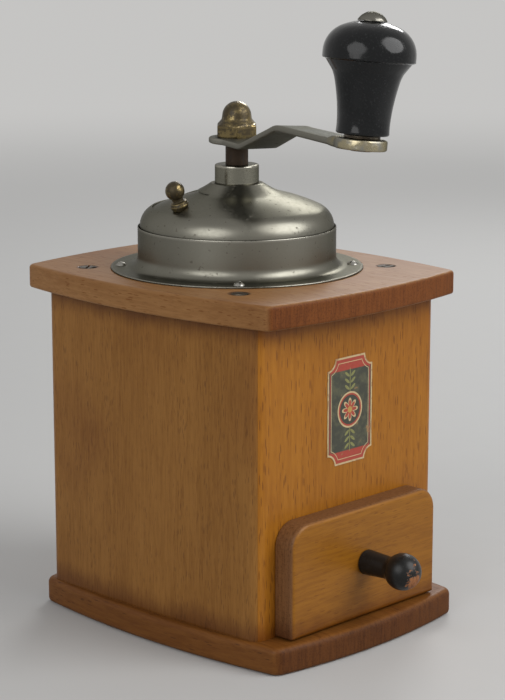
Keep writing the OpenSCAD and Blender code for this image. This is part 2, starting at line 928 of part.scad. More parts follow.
module cap_nut() {
    hex_r = nut_af / 2 / cos(30);
    top_r = nut_top_d / 2;
    cone_h = nut_h - nut_hex_h - top_r;
    cone_r = nut_af / 2 - nut_edge;
    cone_foot_r = cone_r + (cone_r - top_r) * nut_cone_in / cone_h;
    color("darkgoldenrod")
        translate([0, 0, hub_z + strip_t])
            difference() {
                union() {
                    intersection() {
                        rotate([0, 0, crank_angle + nut_turn])
                            cylinder(r = hex_r, h = nut_hex_h, $fn = 6);
                        cylinder(r1 = hex_r + spread * nut_hex_h, r2 = hex_r - nut_edge, h = nut_hex_h);
                    }
                    translate([0, 0, nut_hex_h - nut_cone_in])
                        cylinder(r1 = cone_foot_r, r2 = top_r, h = cone_h + nut_cone_in);
                    translate([0, 0, nut_hex_h + cone_h])
                        sphere(r = top_r);
                }
                translate([0, 0, -over])
                    cylinder(d = thread_d, h = nut_h - nut_wall + over);
            }
}

module grip_pin() {
    head_r = pin_head_d / 2;
    ball_r = (head_r * head_r + pin_head_h * pin_head_h) / (2 * pin_head_h);
    color("silver")
        at_boss() {
            translate([0, 0, -boss_t - peen_h])
                cylinder(d1 = peen_d - 2 * peen_edge, d2 = peen_d, h = peen_h - fit);
            translate([0, 0, -boss_t - peen_h / 2])
                cylinder(d = pin_d, h = boss_t + peen_h / 2 + grip_flat + turn_gap + pin_head_h / 2);
            intersection() {
                translate([0, 0, grip_flat + turn_gap + pin_head_h - ball_r])
                    sphere(r = ball_r);
                translate([0, 0, grip_flat + turn_gap])
                    cylinder(d = pin_head_d + over, h = pin_head_h + over);
            }
        }
}

module grip_washer() {
    color("dimgray")
        at_boss()
            translate([0, 0, seat_gap])
                difference() {
                    cylinder(d = washer_d, h = washer_t);
                    translate([0, 0, -over])
                        cylinder(d = pin_d + 2 * fit, h = washer_t + 2 * over);
                }
}

module crank_grip() {
    foot_r = stem_foot_d / 2;
    top_r = stem_top_d / 2;
    sweep_w = top_r - foot_r;
    sweep_r = (sweep_w * sweep_w + stem_h * stem_h) / (2 * sweep_w);
    color("black")
        at_boss()
            translate([0, 0, grip_z])
                difference() {
                    rotate_extrude()
                        difference() {
                            union() {
                                square([top_r, stem_h + over]);
                                translate([0, stem_h + grip_side_h]) {
                                    cap_2d(grip_d / 2, grip_dome_h, grip_cap_r, 0);
                                    translate([0, -grip_side_h])
                                        square([grip_d / 2, grip_side_h]);
                                }
                            }
                            translate([foot_r + sweep_r, 0])
                                intersection() {
                                    circle(r = sweep_r, $fn = bow_fn);
                                    translate([-2 * sweep_r, -over])
                                        square([4 * sweep_r, stem_h + over]);
                                }
                            translate([0, grip_flat - grip_z])
                                square([grip_d, grip_d]);
                        }
                    translate([0, 0, -over])
                        cylinder(d = grip_bore_d, h = grip_top + 2 * over);
                }
}

module mill_hopper() {
    mouth_r = mouth_d / 2;
    neck_r = neck_d / 2;
    throat_r = seat_d / 2 - throat_edge;
    color("slategray")
        difference() {
            rotate_extrude()
                polygon([[mouth_r, deck_z], [hopper_d / 2, deck_z], [hopper_d / 2, hopper_z],
                         [mouth_r + hopper_wall, hopper_z], [mouth_r + hopper_wall, rim_z],
                         [neck_r, cone_z - hopper_wall], [neck_r, neck_z], [seat_d / 2, neck_z],
                         [seat_d / 2, seat_z], [throat_r, seat_z], [throat_r, cone_z],
                         [mouth_r, rim_z + hopper_wall]]);
            at_bridge_screws()
                machine_bore(bridge_screw_l - bridge_t);
            at_leg_screws()
                machine_bore(bridge_t + 2 * seat_gap + leg_screw_in);
        }
}

// Places its children at the two screws of the upper bridge, level with the top plate
module at_bridge_screws() {
    for (s = [-1, 1])
        translate([s * upper_screw_at, 0, deck_z])
            children();
}

// Places its children at the two screws of the lower bridge, with Z out of its legs
module at_leg_screws() {
    for (s = [-1, 1])
        translate([s * (leg_x + bridge_t), 0, neck_z + leg_screw_up])
            rotate([0, s * 90, 0])
                children();
}

// A flat bridge with an eye for the spindle's bush
module bridge_bar(half_l) {
    difference() {
        union() {
            translate([-half_l, -bridge_w / 2, 0])
                cube([2 * half_l, bridge_w, bridge_t]);
            cylinder(r = eye_r, h = bridge_t);
        }
        translate([0, 0, -over])
            cylinder(r = bush_r + fit, h = bridge_t + 2 * over);
    }
}

module upper_bridge() {
    color("gray")
        difference() {
            translate([0, 0, deck_z])
                bridge_bar(upper_l);
            translate([0, 0, bridge_t])
                at_bridge_screws()
                    machine_bore(bridge_screw_l);
        }
}

module upper_bush() {
    color("goldenrod")
        bush(deck_z - bush_up, 2 * bush_up + bridge_t);
}

// A plain bearing bush round the spindle
module bush(z, h) {
    translate([0, 0, z])
        difference() {
            cylinder(r = bush_r, h = h);
            translate([0, 0, -over])
                cylinder(r = spindle_d / 2 + bearing_gap, h = h + 2 * over);
        }
}

module bridge_screws() {
    color("silver")
        translate([0, 0, bridge_t])
            at_bridge_screws()
                machine_screw(bridge_screw_l, bridge_head_h);
}

// The slots between a burr's teeth, set round the axis
module tooth_slots(count, r_top, r_foot, z, h, lean) {
    for (i = [0:count - 1])
        rotate([0, 0, i * 360 / count])
            translate([(r_top + r_foot) / 2, 0, z + h / 2])
                rotate([0, atan((r_top - r_foot) / h), 0])
                    rotate([lean, 0, 0])
                        rotate([0, 0, 45])
                            cube([tooth_w, tooth_w, 2 * h], center = true);
}

module outer_burr() {
    foot_r = burr_r + burr_gap;
    color("dimgray")
        translate([0, 0, neck_z])
            difference() {
                cylinder(d = seat_d - 2 * fit, h = burr_h);
                cylinder(r1 = foot_r, r2 = foot_r - outer_flare, h = burr_h);
                tooth_slots(20, foot_r - outer_flare, foot_r, 0, burr_h, 12);
            }
}

module inner_burr() {
    color("dimgray")
        difference() {
            translate([0, 0, burr_z])
                cylinder(r1 = burr_r, r2 = burr_top_r, h = burr_h);
            translate([0, 0, burr_z - over])
                cylinder(r = spindle_d / 2 + bearing_gap, h = burr_h + 2 * over);
            tooth_slots(12, burr_top_r + tooth_out, burr_r + tooth_out, burr_z, burr_h, -16);
        }
}

module burr_spring() {
    color("silver")
        translate([0, 0, spring_foot])
            difference() {
                cylinder(r = spring_r + spring_wire, h = spring_head - spring_foot);
                translate([0, 0, -over])
                    cylinder(r = spring_r, h = spring_head - spring_foot + 2 * over);
            }
}

module adjusting_nut() {
    color("goldenrod")
        translate([0, 0, adjuster_z])
            difference() {
                cylinder(d = adjuster_d, h = adjuster_h);
                translate([0, 0, -over])
                    cylinder(r = spindle_d / 2 + bearing_gap, h = adjuster_h + 2 * over);
                for (a = [0:30:330])
                    rotate([0, 0, a])
                        translate([adjuster_d / 2 + adjuster_notch_d / 4, 0, -over])
                            cylinder(d = adjuster_notch_d, h = adjuster_h + 2 * over);
            }
}

module lower_bridge() {
    color("gray")
        difference() {
            translate([0, 0, bridge_z]) {
                bridge_bar(leg_x + bridge_t);
                for (s = [-1, 1])
                    translate([s * (leg_x + bridge_t / 2), 0, leg_h / 2])
                        cube([bridge_t, bridge_w, leg_h], center = true);
            }
            at_leg_screws()
                machine_bore(bridge_t + over);
        }
}

module lower_bush() {
    color("goldenrod")
        bush(bridge_z - bush_up, bridge_t + bush_up);
}

module lower_screws() {
    color("silver")
        at_leg_screws()
            machine_screw(bridge_t + 2 * seat_gap + leg_screw_in - 2 * fit, bridge_head_h);
}

module drawer_front() {
    color("goldenrod")
        difference() {
            translate([-front_w / 2, -front_back - front_t, front_z])
                cube([front_w, front_t, front_h]);
            for (mx = [0, 1])
                mirror([mx, 0, 0])
                    translate([front_w / 2 - front_r, -front_back + over, front_z + front_h - front_r])
                        rotate([90, 0, 0])
                            difference() {
                                cube([2 * front_r, 2 * front_r, front_t + 2 * over]);
                                translate([0, 0, -over])
                                    cylinder(r = front_r, h = front_t + 4 * over);
                            }
            translate([0, -front_back + over, front_z + knob_up])
                rotate([90, 0, 0])
                    cylinder(d = knob_screw_d + 2 * fit, h = front_t + 2 * over);
            for (mx = [0, 1], k = [0, 1])
                mirror([mx, 0, 0])
                    at_drawer_pin(k)
                        drawer_pin_bore();
        }
}

// Places its children at one of the pins that join the front board to a drawer side
module at_drawer_pin(k) {
    translate([(drawer_w - drawer_side_t) / 2, -front_back, drawer_z + drawer_pin_up + drawer_pin_step * k])
        rotate([90, 0, 0])
            children();
}

module drawer_pin_bore() {
    cylinder(d = drawer_pin_d + 2 * fit, h = drawer_pin_l + 2 * fit, center = true);
}

module drawer_side() {
    difference() {
        translate([drawer_w / 2 - drawer_side_t, -front_back, drawer_z + drawer_bottom_t])
            cube([drawer_side_t, drawer_l, drawer_top - drawer_z - drawer_bottom_t]);
        for (k = [0, 1])
            at_drawer_pin(k)
                drawer_pin_bore();
    }
}

module drawer_right() {
    color("burlywood")
        drawer_side();
}

module drawer_left() {
    color("burlywood")
        mirror([1, 0, 0])
            drawer_side();
}

module drawer_back() {
    color("burlywood")
        translate([-drawer_w / 2 + drawer_side_t, drawer_l - front_back - drawer_side_t,
                   drawer_z + drawer_bottom_t])
            cube([drawer_w - 2 * drawer_side_t, drawer_side_t, drawer_top - drawer_z - drawer_bottom_t]);
}

module drawer_bottom() {
    color("tan")
        translate([-drawer_w / 2, -front_back, drawer_z])
            cube([drawer_w, drawer_l, drawer_bottom_t]);
}

module drawer_pins() {
    color("gray")
        for (mx = [0, 1], k = [0, 1])
            mirror([mx, 0, 0])
                at_drawer_pin(k)
                    cylinder(d = drawer_pin_d, h = drawer_pin_l, center = true);
}

// Places its children on the front board, with Z along the drawer's knob
module at_knob() {
    translate([0, -front_back - front_t, front_z + knob_up])
        rotate([90, 0, 0])
            children();
}

module drawer_knob() {
    ball_r = knob_ball_d / 2;
    foot_r = knob_foot_d / 2;
    neck_r = knob_neck_d / 2;
    waist_z = knob_l - ball_r - sqrt(ball_r * ball_r - neck_r * neck_r);
    color("black")
        at_knob()
            difference() {
                union() {
                    cylinder(r = foot_r, h = knob_foot_t);
                    translate([0, 0, knob_foot_t])
                        cylinder(r1 = foot_r, r2 = neck_r, h = waist_z - knob_foot_t);
                    translate([0, 0, waist_z])
                        cylinder(r = neck_r, h = ball_r);
                    translate([0, 0, knob_l - ball_r])
                        sphere(r = ball_r);
                }
                translate([0, 0, -over])
                    cylinder(d = knob_screw_d + 2 * fit, h = knob_screw_in + fit + over);
            }
}

module knob_screw() {
    color("gray")
        at_knob()
            translate([0, 0, -front_t]) {
                translate([0, 0, -knob_screw_head_h])
                    cylinder(d = knob_screw_head_d, h = knob_screw_head_h);
                translate([0, 0, -over])
                    cylinder(d = knob_screw_d, h = front_t + knob_screw_in + over);
            }
}

base_plate();
front_panel();
back_panel();
left_panel();
right_panel();
top_plate();
top_screws();
base_screws();
front_label();
cover_ring();
flange_screws();
dome_cover();
dome_collar();
collar_keeper();
hatch_slider();
hatch_knob();
spindle();
crank_arm();
cap_nut();
grip_pin();
grip_washer();
crank_grip();
mill_hopper();
upper_bridge();
upper_bush();
bridge_screws();
outer_burr();
inner_burr();
burr_spring();
adjusting_nut();
lower_bridge();
lower_bush();
lower_screws();
drawer_front();
drawer_left();
drawer_right();
drawer_back();
drawer_bottom();
drawer_pins();
drawer_knob();
knob_screw();
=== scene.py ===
"""Box coffee grinder, dressed over its solid frame.

Sizes are in millimetres, as in the part's source, until a mesh is made, which is in metres. The drawer
faces -Y, the spindle stands on the Z axis, and the base rests on the plane z = 0.
"""

import logging
import math
from dataclasses import dataclass
from enum import Enum
from typing import Optional, Sequence, Union

import bmesh
import bpy
import numpy as np
from mathutils import Matrix, Vector, geometry


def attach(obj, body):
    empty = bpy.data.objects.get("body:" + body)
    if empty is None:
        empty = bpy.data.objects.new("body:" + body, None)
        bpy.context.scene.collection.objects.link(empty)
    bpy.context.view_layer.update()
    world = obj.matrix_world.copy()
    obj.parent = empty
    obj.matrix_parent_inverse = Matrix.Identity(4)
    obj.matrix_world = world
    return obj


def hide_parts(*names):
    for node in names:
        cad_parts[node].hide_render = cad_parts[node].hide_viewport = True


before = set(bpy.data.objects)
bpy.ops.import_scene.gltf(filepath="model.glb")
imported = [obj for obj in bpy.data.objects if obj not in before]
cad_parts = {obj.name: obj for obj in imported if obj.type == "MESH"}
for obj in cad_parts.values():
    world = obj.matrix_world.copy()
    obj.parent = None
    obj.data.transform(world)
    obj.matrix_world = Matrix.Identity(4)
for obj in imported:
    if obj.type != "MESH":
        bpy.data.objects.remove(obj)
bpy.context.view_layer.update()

LOG = logging.getLogger("grinder")
MM = 0.001
WELD = 1e-4
TAU = 2 * math.pi

Colour = tuple[float, float, float]
Value = Union["Signal", float]


# Shader maths


@dataclass(frozen=True)
class Signal:
    """One output of a material's node, ready for use in an expression."""

    recipe: "Recipe"
    socket: bpy.types.NodeSocket

    def maths(self, operation: str, *others: Value) -> "Signal":
        """Feeds this value and others through one Math node.

        Args:
            operation: The Math node's operation.
            others: The values of its other sockets.

        Returns:
            The node's result.
        """
        values = {i: v for i, v in enumerate((self, *others))}
        return self.recipe.node("ShaderNodeMath", {"operation": operation}, values)

    def __add__(self, other: Value) -> "Signal":
        """This value plus another."""
        return self.maths("ADD", other)

    __radd__ = __add__

    def __mul__(self, other: Value) -> "Signal":
        """This value times another."""
        return self.maths("MULTIPLY", other)

    __rmul__ = __mul__

    def __sub__(self, other: Value) -> "Signal":
        """This value less another."""
        return self.maths("SUBTRACT", other)

    def __rsub__(self, other: float) -> "Signal":
        """A number less this value."""
        return self.recipe.node("ShaderNodeMath", {"operation": "SUBTRACT"}, {0: other, 1: self})

    def __truediv__(self, other: Value) -> "Signal":
        """This value divided by another."""
        return self.maths("DIVIDE", other)

    def __pow__(self, other: float) -> "Signal":
        """This value raised to a power."""
        return self.maths("POWER", other)

    def __abs__(self) -> "Signal":
        """This value without its sign."""
        return self.maths("ABSOLUTE")

    def least(self, other: Value) -> "Signal":
        """The smaller of this value and another."""
        return self.maths("MINIMUM", other)

    def most(self, other: Value) -> "Signal":
        """The larger of this value and another."""
        return self.maths("MAXIMUM", other)

    def clip(self) -> "Signal":
        """This value held between 0 and 1."""
        return self.maths("MAXIMUM", 0.0).maths("MINIMUM", 1.0)

    def rise(self, low: float, high: float) -> "Signal":
        """A smooth step of this value.

        Args:
            low: The value where the step starts at 0.
            high: The value where the step ends at 1. It may lie under low, for a step down.

        Returns:
            A value from 0 to 1.
        """
        limits = {"Value": self, "From Min": low, "From Max": high, "To Min": 0.0, "To Max": 1.0}
        return self.recipe.node("ShaderNodeMapRange", {"interpolation_type": "SMOOTHSTEP"}, limits)

    def band(self, low: float, high: float, soft: float) -> "Signal":
        """1 where this value lies between two limits, with soft edges."""
        return self.rise(low - soft, low + soft) * self.rise(high + soft, high - soft)


class Recipe:
    """A material in the making: its nodes and the surface shader that they feed."""

    def __init__(self, name: str) -> None:
        """Starts a material with one surface shader.

        Args:
            name: The material's name.
        """
        self.material = bpy.data.materials.new(name)
        self.material.use_nodes = True
        self.tree = self.material.node_tree
        self.tree.nodes.clear()
        self.shader = self.tree.nodes.new("ShaderNodeBsdfPrincipled")
        end = self.tree.nodes.new("ShaderNodeOutputMaterial")
        self.tree.links.new(self.shader.outputs[0], end.inputs["Surface"])
        self.point = self.node("ShaderNodeTexCoord", output="Object")

    def node(
        self,
        kind: str,
        settings: Optional[dict] = None,
        inputs: Optional[dict] = None,
        output: Union[int, str] = 0,
    ) -> Signal:
        """Adds one node.

        Args:
            kind: The node's type.
            settings: Its properties, set first. stops gives a ramp's places and colours.
            inputs: The values or signals of its sockets, by name or number.
            output: The socket that is handed back.

        Returns:
            The chosen output.
        """
        made = self.tree.nodes.new(kind)
        for key, value in (settings or {}).items():
            if key == "stops":
                self._set_stops(made.color_ramp, value)
            else:
                setattr(made, key, value)
        for key, value in (inputs or {}).items():
            if isinstance(value, Signal):
                self.tree.links.new(value.socket, made.inputs[key])
            else:
                made.inputs[key].default_value = value
        return Signal(self, made.outputs[output])

    @staticmethod
    def _set_stops(ramp: bpy.types.ColorRamp, stops: Sequence[tuple[float, Colour]]) -> None:
        """Gives a ramp its stops.

        Args:
            ramp: The ramp to fill.
            stops: The place and colour of each stop, in order.
        """
        while len(ramp.elements) < len(stops):
            ramp.elements.new(1.0)
        for element, (place, colour) in zip(ramp.elements, stops):
            element.position = place
            element.color = (*colour, 1.0)

    def set(self, **sockets: Union[Value, Colour]) -> None:
        """Sets sockets of the surface shader.

        Args:
            sockets: Values or signals by socket name, with underscores for spaces.
        """
        for key, value in sockets.items():
            socket = self.shader.inputs[key.replace("_", " ")]
            if isinstance(value, Signal):
                self.tree.links.new(value.socket, socket)
            elif isinstance(value, tuple):
                socket.default_value = (*value, 1.0)
            else:
                socket.default_value = value

    def stretch(self, factors: Colour, shift: float = 0.0, source: Optional[Signal] = None) -> Signal:
        """Scales a place along the three axes.

        Args:
            factors: The three scales.
            shift: How far the pattern is moved first, in metres.
            source: The place to scale, or the point on the piece.

        Returns:
            The scaled place.
        """
        moved = source or self.point
        if shift:
            moved = self.node("ShaderNodeVectorMath", {"operation": "ADD"}, {0: moved, 1: (shift, shift, shift)})
        return self.node("ShaderNodeVectorMath", {"operation": "MULTIPLY"}, {0: moved, 1: factors})

    def noise(self, place: Signal, scale: float = 1.0, detail: float = 3.0, rough: float = 0.5, twist: float = 0.0) -> Signal:
        """A cloudy value round 0.5.

        Args:
            place: Where it is read.
            scale: Its fineness.
            detail: How many finer layers it has.
            rough: How strong those layers are.
            twist: How far it is bent by itself.

        Returns:
            The noise, mostly between 0.3 and 0.7.
        """
        values = {"Vector": place, "Scale": scale, "Detail": detail, "Roughness": rough, "Distortion": twist}
        return self.node("ShaderNodeTexNoise", {"noise_dimensions": "3D"}, values)

    def dashes(self, place: Signal, share: float) -> Signal:
        """Scattered soft spots, which a stretched place draws out into dashes.

        Args:
            place: Where they are read. A spot is up to one unit wide.
            share: How many of the places hold one, from 0 to 1.

        Returns:
            How strongly a spot shows.
        """
        away = self.node("ShaderNodeTexVoronoi", None, {"Vector": place, "Scale": 1.0}, "Distance")
        drawn = Signal(self, away.socket.node.outputs["Color"])
        luck = self.node("ShaderNodeSeparateColor", None, {0: drawn})
        return away.rise(0.50, 0.28) * luck.rise(1.0 - share, 1.02 - share)

    def mix(self, first: Union[Signal, Colour], second: Union[Signal, Colour], share: Value) -> Signal:
        """Mixes two colours.

        Args:
            first: The colour where share is 0.
            second: The colour where share is 1.
            share: How much there is of the second.

        Returns:
            The mixed colour.
        """
        colours = [c if isinstance(c, Signal) else (*c, 1.0) for c in (first, second)]
        values = {0: share, 6: colours[0], 7: colours[1]}
        return self.node("ShaderNodeMix", {"data_type": "RGBA"}, values, 2)

    def tint(self, colour: Union[Signal, Colour], other: Union[Signal, Colour], share: Value) -> Signal:
        """Multiplies a colour by another, as far as share says."""
        colours = [c if isinstance(c, Signal) else (*c, 1.0) for c in (colour, other)]
        values = {0: share, 6: colours[0], 7: colours[1]}
        return self.node("ShaderNodeMix", {"data_type": "RGBA", "blend_type": "MULTIPLY"}, values, 2)

    def axes(self) -> tuple[Signal, Signal, Signal]:
        """The point's three coordinates, in metres."""
        first = self.node("ShaderNodeSeparateXYZ", None, {0: self.point}, 0)
        outs = first.socket.node.outputs
        return first, Signal(self, outs[1]), Signal(self, outs[2])

    def worn(self) -> Signal:
        """How near the point lies to a handled edge, from 0 to 1."""
        return self.node("ShaderNodeAttribute", {"attribute_name": "wear"}, None, "Fac")

    def end_share(self, axis: Colour) -> Signal:
        """How squarely the surface faces along an axis, from 0 to 1."""
        facing = self.node("ShaderNodeTexCoord", output="Normal")
        return abs(self.node("ShaderNodeVectorMath", {"operation": "DOT_PRODUCT"}, {0: facing, 1: axis}, "Value"))

    def relief(self, height: Signal, depth: float, strength: float = 1.0) -> None:
        """Presses a height into the shader's normal.

        Args:
            height: The height, from 0 to 1.
            depth: The height in millimetres that 1 stands for.
            strength: How strongly it shows.
        """
        values = {"Strength": strength, "Distance": depth * MM, "Height": height}
        self.set(Normal=self.node("ShaderNodeBump", None, values))


# Finishes


class Axis(Enum):
    """The direction that a board's fibres run in."""

    X = (1.0, 0.0, 0.0)
    Y = (0.0, 1.0, 0.0)
    Z = (0.0, 0.0, 1.0)

    def scales(self, across: float, along: float) -> Colour:
        """The scales that draw a pattern out along the fibres.

        Args:
            across: The scale across the fibres.
            along: The scale along them.

        Returns:
            One scale for each axis.
        """
        return tuple(along if part else across for part in self.value)


@dataclass(frozen=True)
class Beech:
    """Stained and lacquered beech with long fibres, short dark flecks and darker end grain.

    Attributes:
        name: The material's name.
        grain: The direction of the fibres.
        pale: The lightest colour of the face.
        brown: The darker colour of its bands.
        fleck: The colour of the rays and pores.
        end: The colour of end grain.
        worn: The colour of handled edges.
        flecks: How strongly the rays show.
        dash: The width and length of a ray in millimetres, and the share of places that hold one.
        lines: How strongly the fine fibre lines show.
        shaded_ends: Heights in millimetres of the two ends of the face, near which it is darkened with painted shade,
            or None.
        screw: The place in millimetres of the screws that have stained the wood, or None.
        shift: Where in the wood the piece is cut, in metres.
        gloss: The roughness of the clean face.
        coat: How much clear lacquer there is on it.
        face: The direction that the one finished face looks in, or None where all sides are finished.
    """

    name: str
    grain: Axis
    pale: Colour
    brown: Colour
    fleck: Colour
    end: Colour
    worn: Colour
    flecks: float = 0.6
    dash: tuple[float, float, float] = (0.75, 7.5, 0.09)
    lines: float = 0.5
    shaded_ends: Optional[tuple[float, float]] = None
    screw: Optional[tuple[float, float]] = None
    shift: float = 0.0
    gloss: float = 0.42
    coat: float = 0.10
    face: Optional[Axis] = None

    def build(self) -> bpy.types.Material:
        """Makes the material."""
        wood = Recipe(self.name)
        face = self.grain
        bands = wood.noise(wood.stretch(face.scales(40, 3.5), 0.37 + self.shift), 1.0, 2.0, 0.5, 0.4)
        fibre = wood.noise(wood.stretch(face.scales(800, 50), 0.11 + self.shift), 1.0, 3.0, 0.6)
        fine = wood.noise(wood.stretch(face.scales(2300, 170), 0.23 + self.shift), 1.0, 2.0, 0.6)
        wide, long, share = self.dash
        ray = wood.dashes(wood.stretch(face.scales(1000 / wide, 1000 / long), 0.71 + self.shift), share)
        tone = (bands.rise(0.34, 0.66) * 0.4 + fibre.rise(0.36, 0.66) * 0.6).clip()
        colour = wood.mix(self.pale, self.brown, tone)
        colour = wood.tint(colour, (0.62, 0.52, 0.42), fine.rise(0.52, 0.72) * self.lines)
        colour = wood.mix(colour, self.fleck, ray * self.flecks)
        square = wood.end_share(face.value).rise(0.45, 0.95)
        if self.face is not None:
            square = wood.end_share(self.face.value).rise(0.85, 0.45)
        pores = wood.noise(wood.stretch((1500, 1500, 1500), 0.4), 1.0, 3.0, 0.6)
        streak = wood.noise(wood.stretch((900, 900, 70), 0.6 + self.shift), 1.0, 4.0, 0.65)
        cut = wood.tint(self.end, (0.40, 0.32, 0.24), (pores.rise(0.46, 0.70) * 0.45 + streak.rise(0.40, 0.66) * 0.45).clip())
        colour = wood.mix(colour, cut, square)
        stain = wood.noise(wood.stretch((16, 16, 16), 1.3 + self.shift), 1.0, 4.0, 0.55)
        colour = wood.tint(colour, (0.60, 0.46, 0.36), stain.rise(0.48, 0.76) * 0.5)
        worn = wood.worn()
        rub = (worn * (0.45 + 0.9 * wood.noise(wood.stretch((140, 140, 140), 0.9), 1.0, 3.0))).clip()
        colour = wood.mix(colour, self.worn, rub * 0.75)
        # Painted shade: the face is darkened towards its two given heights, where it meets its neighbouring boards.
        corner_shade = self._corner_shade(wood)
        if corner_shade is not None:
            colour = wood.tint(colour, (0.42, 0.28, 0.18), corner_shade * 0.75)
        if self.screw is not None:
            x, y, _ = wood.axes()
            x, y = (abs(value) - place * MM for value, place in zip((x, y), self.screw))
            ring = (x * x + y * y).maths("SQRT") + (stain - 0.5) * 0.004
            colour = wood.tint(colour, (0.26, 0.20, 0.15), ring.rise(0.0054, 0.0040) * 0.85)
        rough = (self.gloss + 0.16 * (fibre - 0.5) + 0.14 * square + 0.10 * rub + 0.12 * ray).clip()
        height = fibre * 0.35 + fine * 0.35 - ray * 0.5 - pores.rise(0.55, 0.7) * square * 0.4
        wood.set(Base_Color=colour, Roughness=rough, Coat_Weight=(self.coat * (1.0 - 0.7 * rub - 0.5 * square)).clip())
        wood.set(Coat_Roughness=0.3, Specular_IOR_Level=0.18)
        wood.relief(height, 0.05, 0.6)
        return wood.material

    def _corner_shade(self, wood: Recipe) -> Optional[Signal]:
        """Painted shade in the corners where the face meets its neighbours.

        Args:
            wood: The material in the making.

        Returns:
            How strongly painted shade darkens the face, or None where it has no such corners.
        """
        if self.shaded_ends is None:
            return None
        low, high = (value * MM for value in self.shaded_ends)
        height = wood.axes()[2]
        ragged = (wood.noise(wood.stretch((60, 60, 30), 0.8), 1.0, 4.0, 0.6) - 0.5) * 0.012
        near = (height - low).least(high - height) + ragged
        return near.rise(0.011, 0.0)


@dataclass(frozen=True)
class Sheet:
    """Satin or polished metal with turning lines, specks and a little tarnish.

    Attributes:
        name: The material's name.
        colour: The clean metal.
        tarnish: The colour of its film.
        film: How much of it is filmed.
        gloss: The roughness of the clean metal.
        spread: How far the roughness varies.
        lines: How deep the turning lines are.
        specks: How many dark specks there are.
        dents: How deep its slow waves are, in millimetres.
        bright: The colour of rubbed edges.
        golden: The middle of a golden patch in millimetres, and its radius, or None.
    """

    name: str
    colour: Colour
    tarnish: Colour
    film: float = 0.3
    gloss: float = 0.3
    spread: float = 0.14
    lines: float = 0.2
    specks: float = 0.4
    dents: float = 0.02
    bright: Colour = (0.62, 0.60, 0.55)
    golden: Optional[tuple[float, float, float, float]] = None

    def build(self) -> bpy.types.Material:
        """Makes the material."""
        steel = Recipe(self.name)
        across, deep, up = steel.axes()
        radius = (across * across + deep * deep).maths("SQRT")
        ring = steel.node("ShaderNodeCombineXYZ", None, {0: radius, 1: 0.0, 2: up})
        turning = steel.noise(steel.stretch((2600, 1, 2600), 0.0, ring), 1.0, 3.0, 0.6)
        cloud = steel.noise(steel.stretch((38, 38, 38), 0.3), 1.0, 4.0, 0.6)
        grit = steel.noise(steel.stretch((900, 900, 900), 0.6), 1.0, 3.0, 0.65)
        spots = steel.noise(steel.stretch((520, 520, 520), 0.9), 1.0, 2.0, 0.5).rise(0.66, 0.72)
        film = (cloud.rise(0.40, 0.70) * 0.7 + grit.rise(0.5, 0.7) * 0.3).clip() * self.film
        colour = steel.mix(self.colour, self.tarnish, film)
        beaten = steel.noise(steel.stretch((230, 230, 230), 0.5), 1.0, 2.0, 0.5)
        shine: Value = 0.0
        if self.golden is not None:
            middle = tuple(value * MM for value in self.golden[:3])
            away = steel.node("ShaderNodeVectorMath", {"operation": "DISTANCE"}, {0: steel.point, 1: middle}, "Value")
            near = (away / (self.golden[3] * MM) + (cloud - 0.5) * 1.2).rise(1.15, 0.7)
            shine = near * beaten.rise(0.36, 0.60)
            colour = steel.mix(colour, (0.36, 0.29, 0.13), shine)
        colour = steel.tint(colour, (0.25, 0.20, 0.14), spots * self.specks)
        edge = steel.worn()
        colour = steel.mix(colour, self.bright, edge * 0.6)
        rough = (self.gloss + self.spread * (cloud - 0.5) + 0.25 * (grit - 0.5) * self.spread / 0.14
                 + spots * 0.25 + film * 0.12 - edge * 0.06 - 0.16 * shine).clip()
        steel.set(Base_Color=colour, Roughness=rough, Metallic=(1.0 - spots * 0.5 * self.specks))
        steel.set(Specular_Tint=(0.42, 0.42, 0.41))
        waves = steel.noise(steel.stretch((70, 70, 70), 0.2), 1.0, 1.0) * self.dents
        height = waves + turning * self.lines * 0.01 + grit * 0.004 - spots * 0.012 + beaten * shine * 0.12
        steel.relief(height, 1.0, 0.8)
        return steel.material


@dataclass(frozen=True)
class Patina:
    """Old metal under a patchy film: brass, rust or cast iron.

    Attributes:
        name: The material's name.
        clean: The colour of the bare metal.
        film: The colour of its film.
        stain: The colour of its darkest patches.
        cover: How much of it the film takes up.
        gloss: The roughness of the bare metal.
        dull: The roughness of the film.
        pits: How deep its pits are, in millimetres.
        scale: How fine its patches are.
    """

    name: str
    clean: Colour
    film: Colour
    stain: Colour
    cover: float = 0.5
    gloss: float = 0.25
    dull: float = 0.6
    pits: float = 0.03
    scale: float = 160.0

    def build(self) -> bpy.types.Material:
        """Makes the material."""
        metal = Recipe(self.name)
        size = self.scale
        cloud = metal.noise(metal.stretch((size, size, size), 0.4), 1.0, 5.0, 0.62)
        fine = metal.noise(metal.stretch((6 * size, 6 * size, 6 * size), 0.8), 1.0, 3.0, 0.6)
        dark = metal.noise(metal.stretch((1.7 * size, 1.7 * size, size), 1.2), 1.0, 4.0, 0.6)
        middle = 0.72 - 0.44 * self.cover
        film = (cloud + (fine - 0.5) * 0.3).rise(middle - 0.09, middle + 0.09)
        edge = metal.worn()
        film = (film - edge * 0.55).clip()
        stain = dark.rise(0.54, 0.68) * 0.8
        colour = metal.mix(self.clean, self.film, film)
        colour = metal.mix(colour, self.stain, stain * (0.35 + 0.65 * film))
        rough = (self.gloss + (self.dull - self.gloss) * (film * 0.8 + stain * 0.2) + 0.25 * (fine - 0.5)).clip()
        metal.set(Base_Color=colour, Roughness=rough, Metallic=(1.0 - 0.75 * film * (0.4 + 0.6 * stain)).clip())
        metal.relief(cloud * 0.5 + fine * 0.35 - stain * 0.4, self.pits, 0.9)
        return metal.material


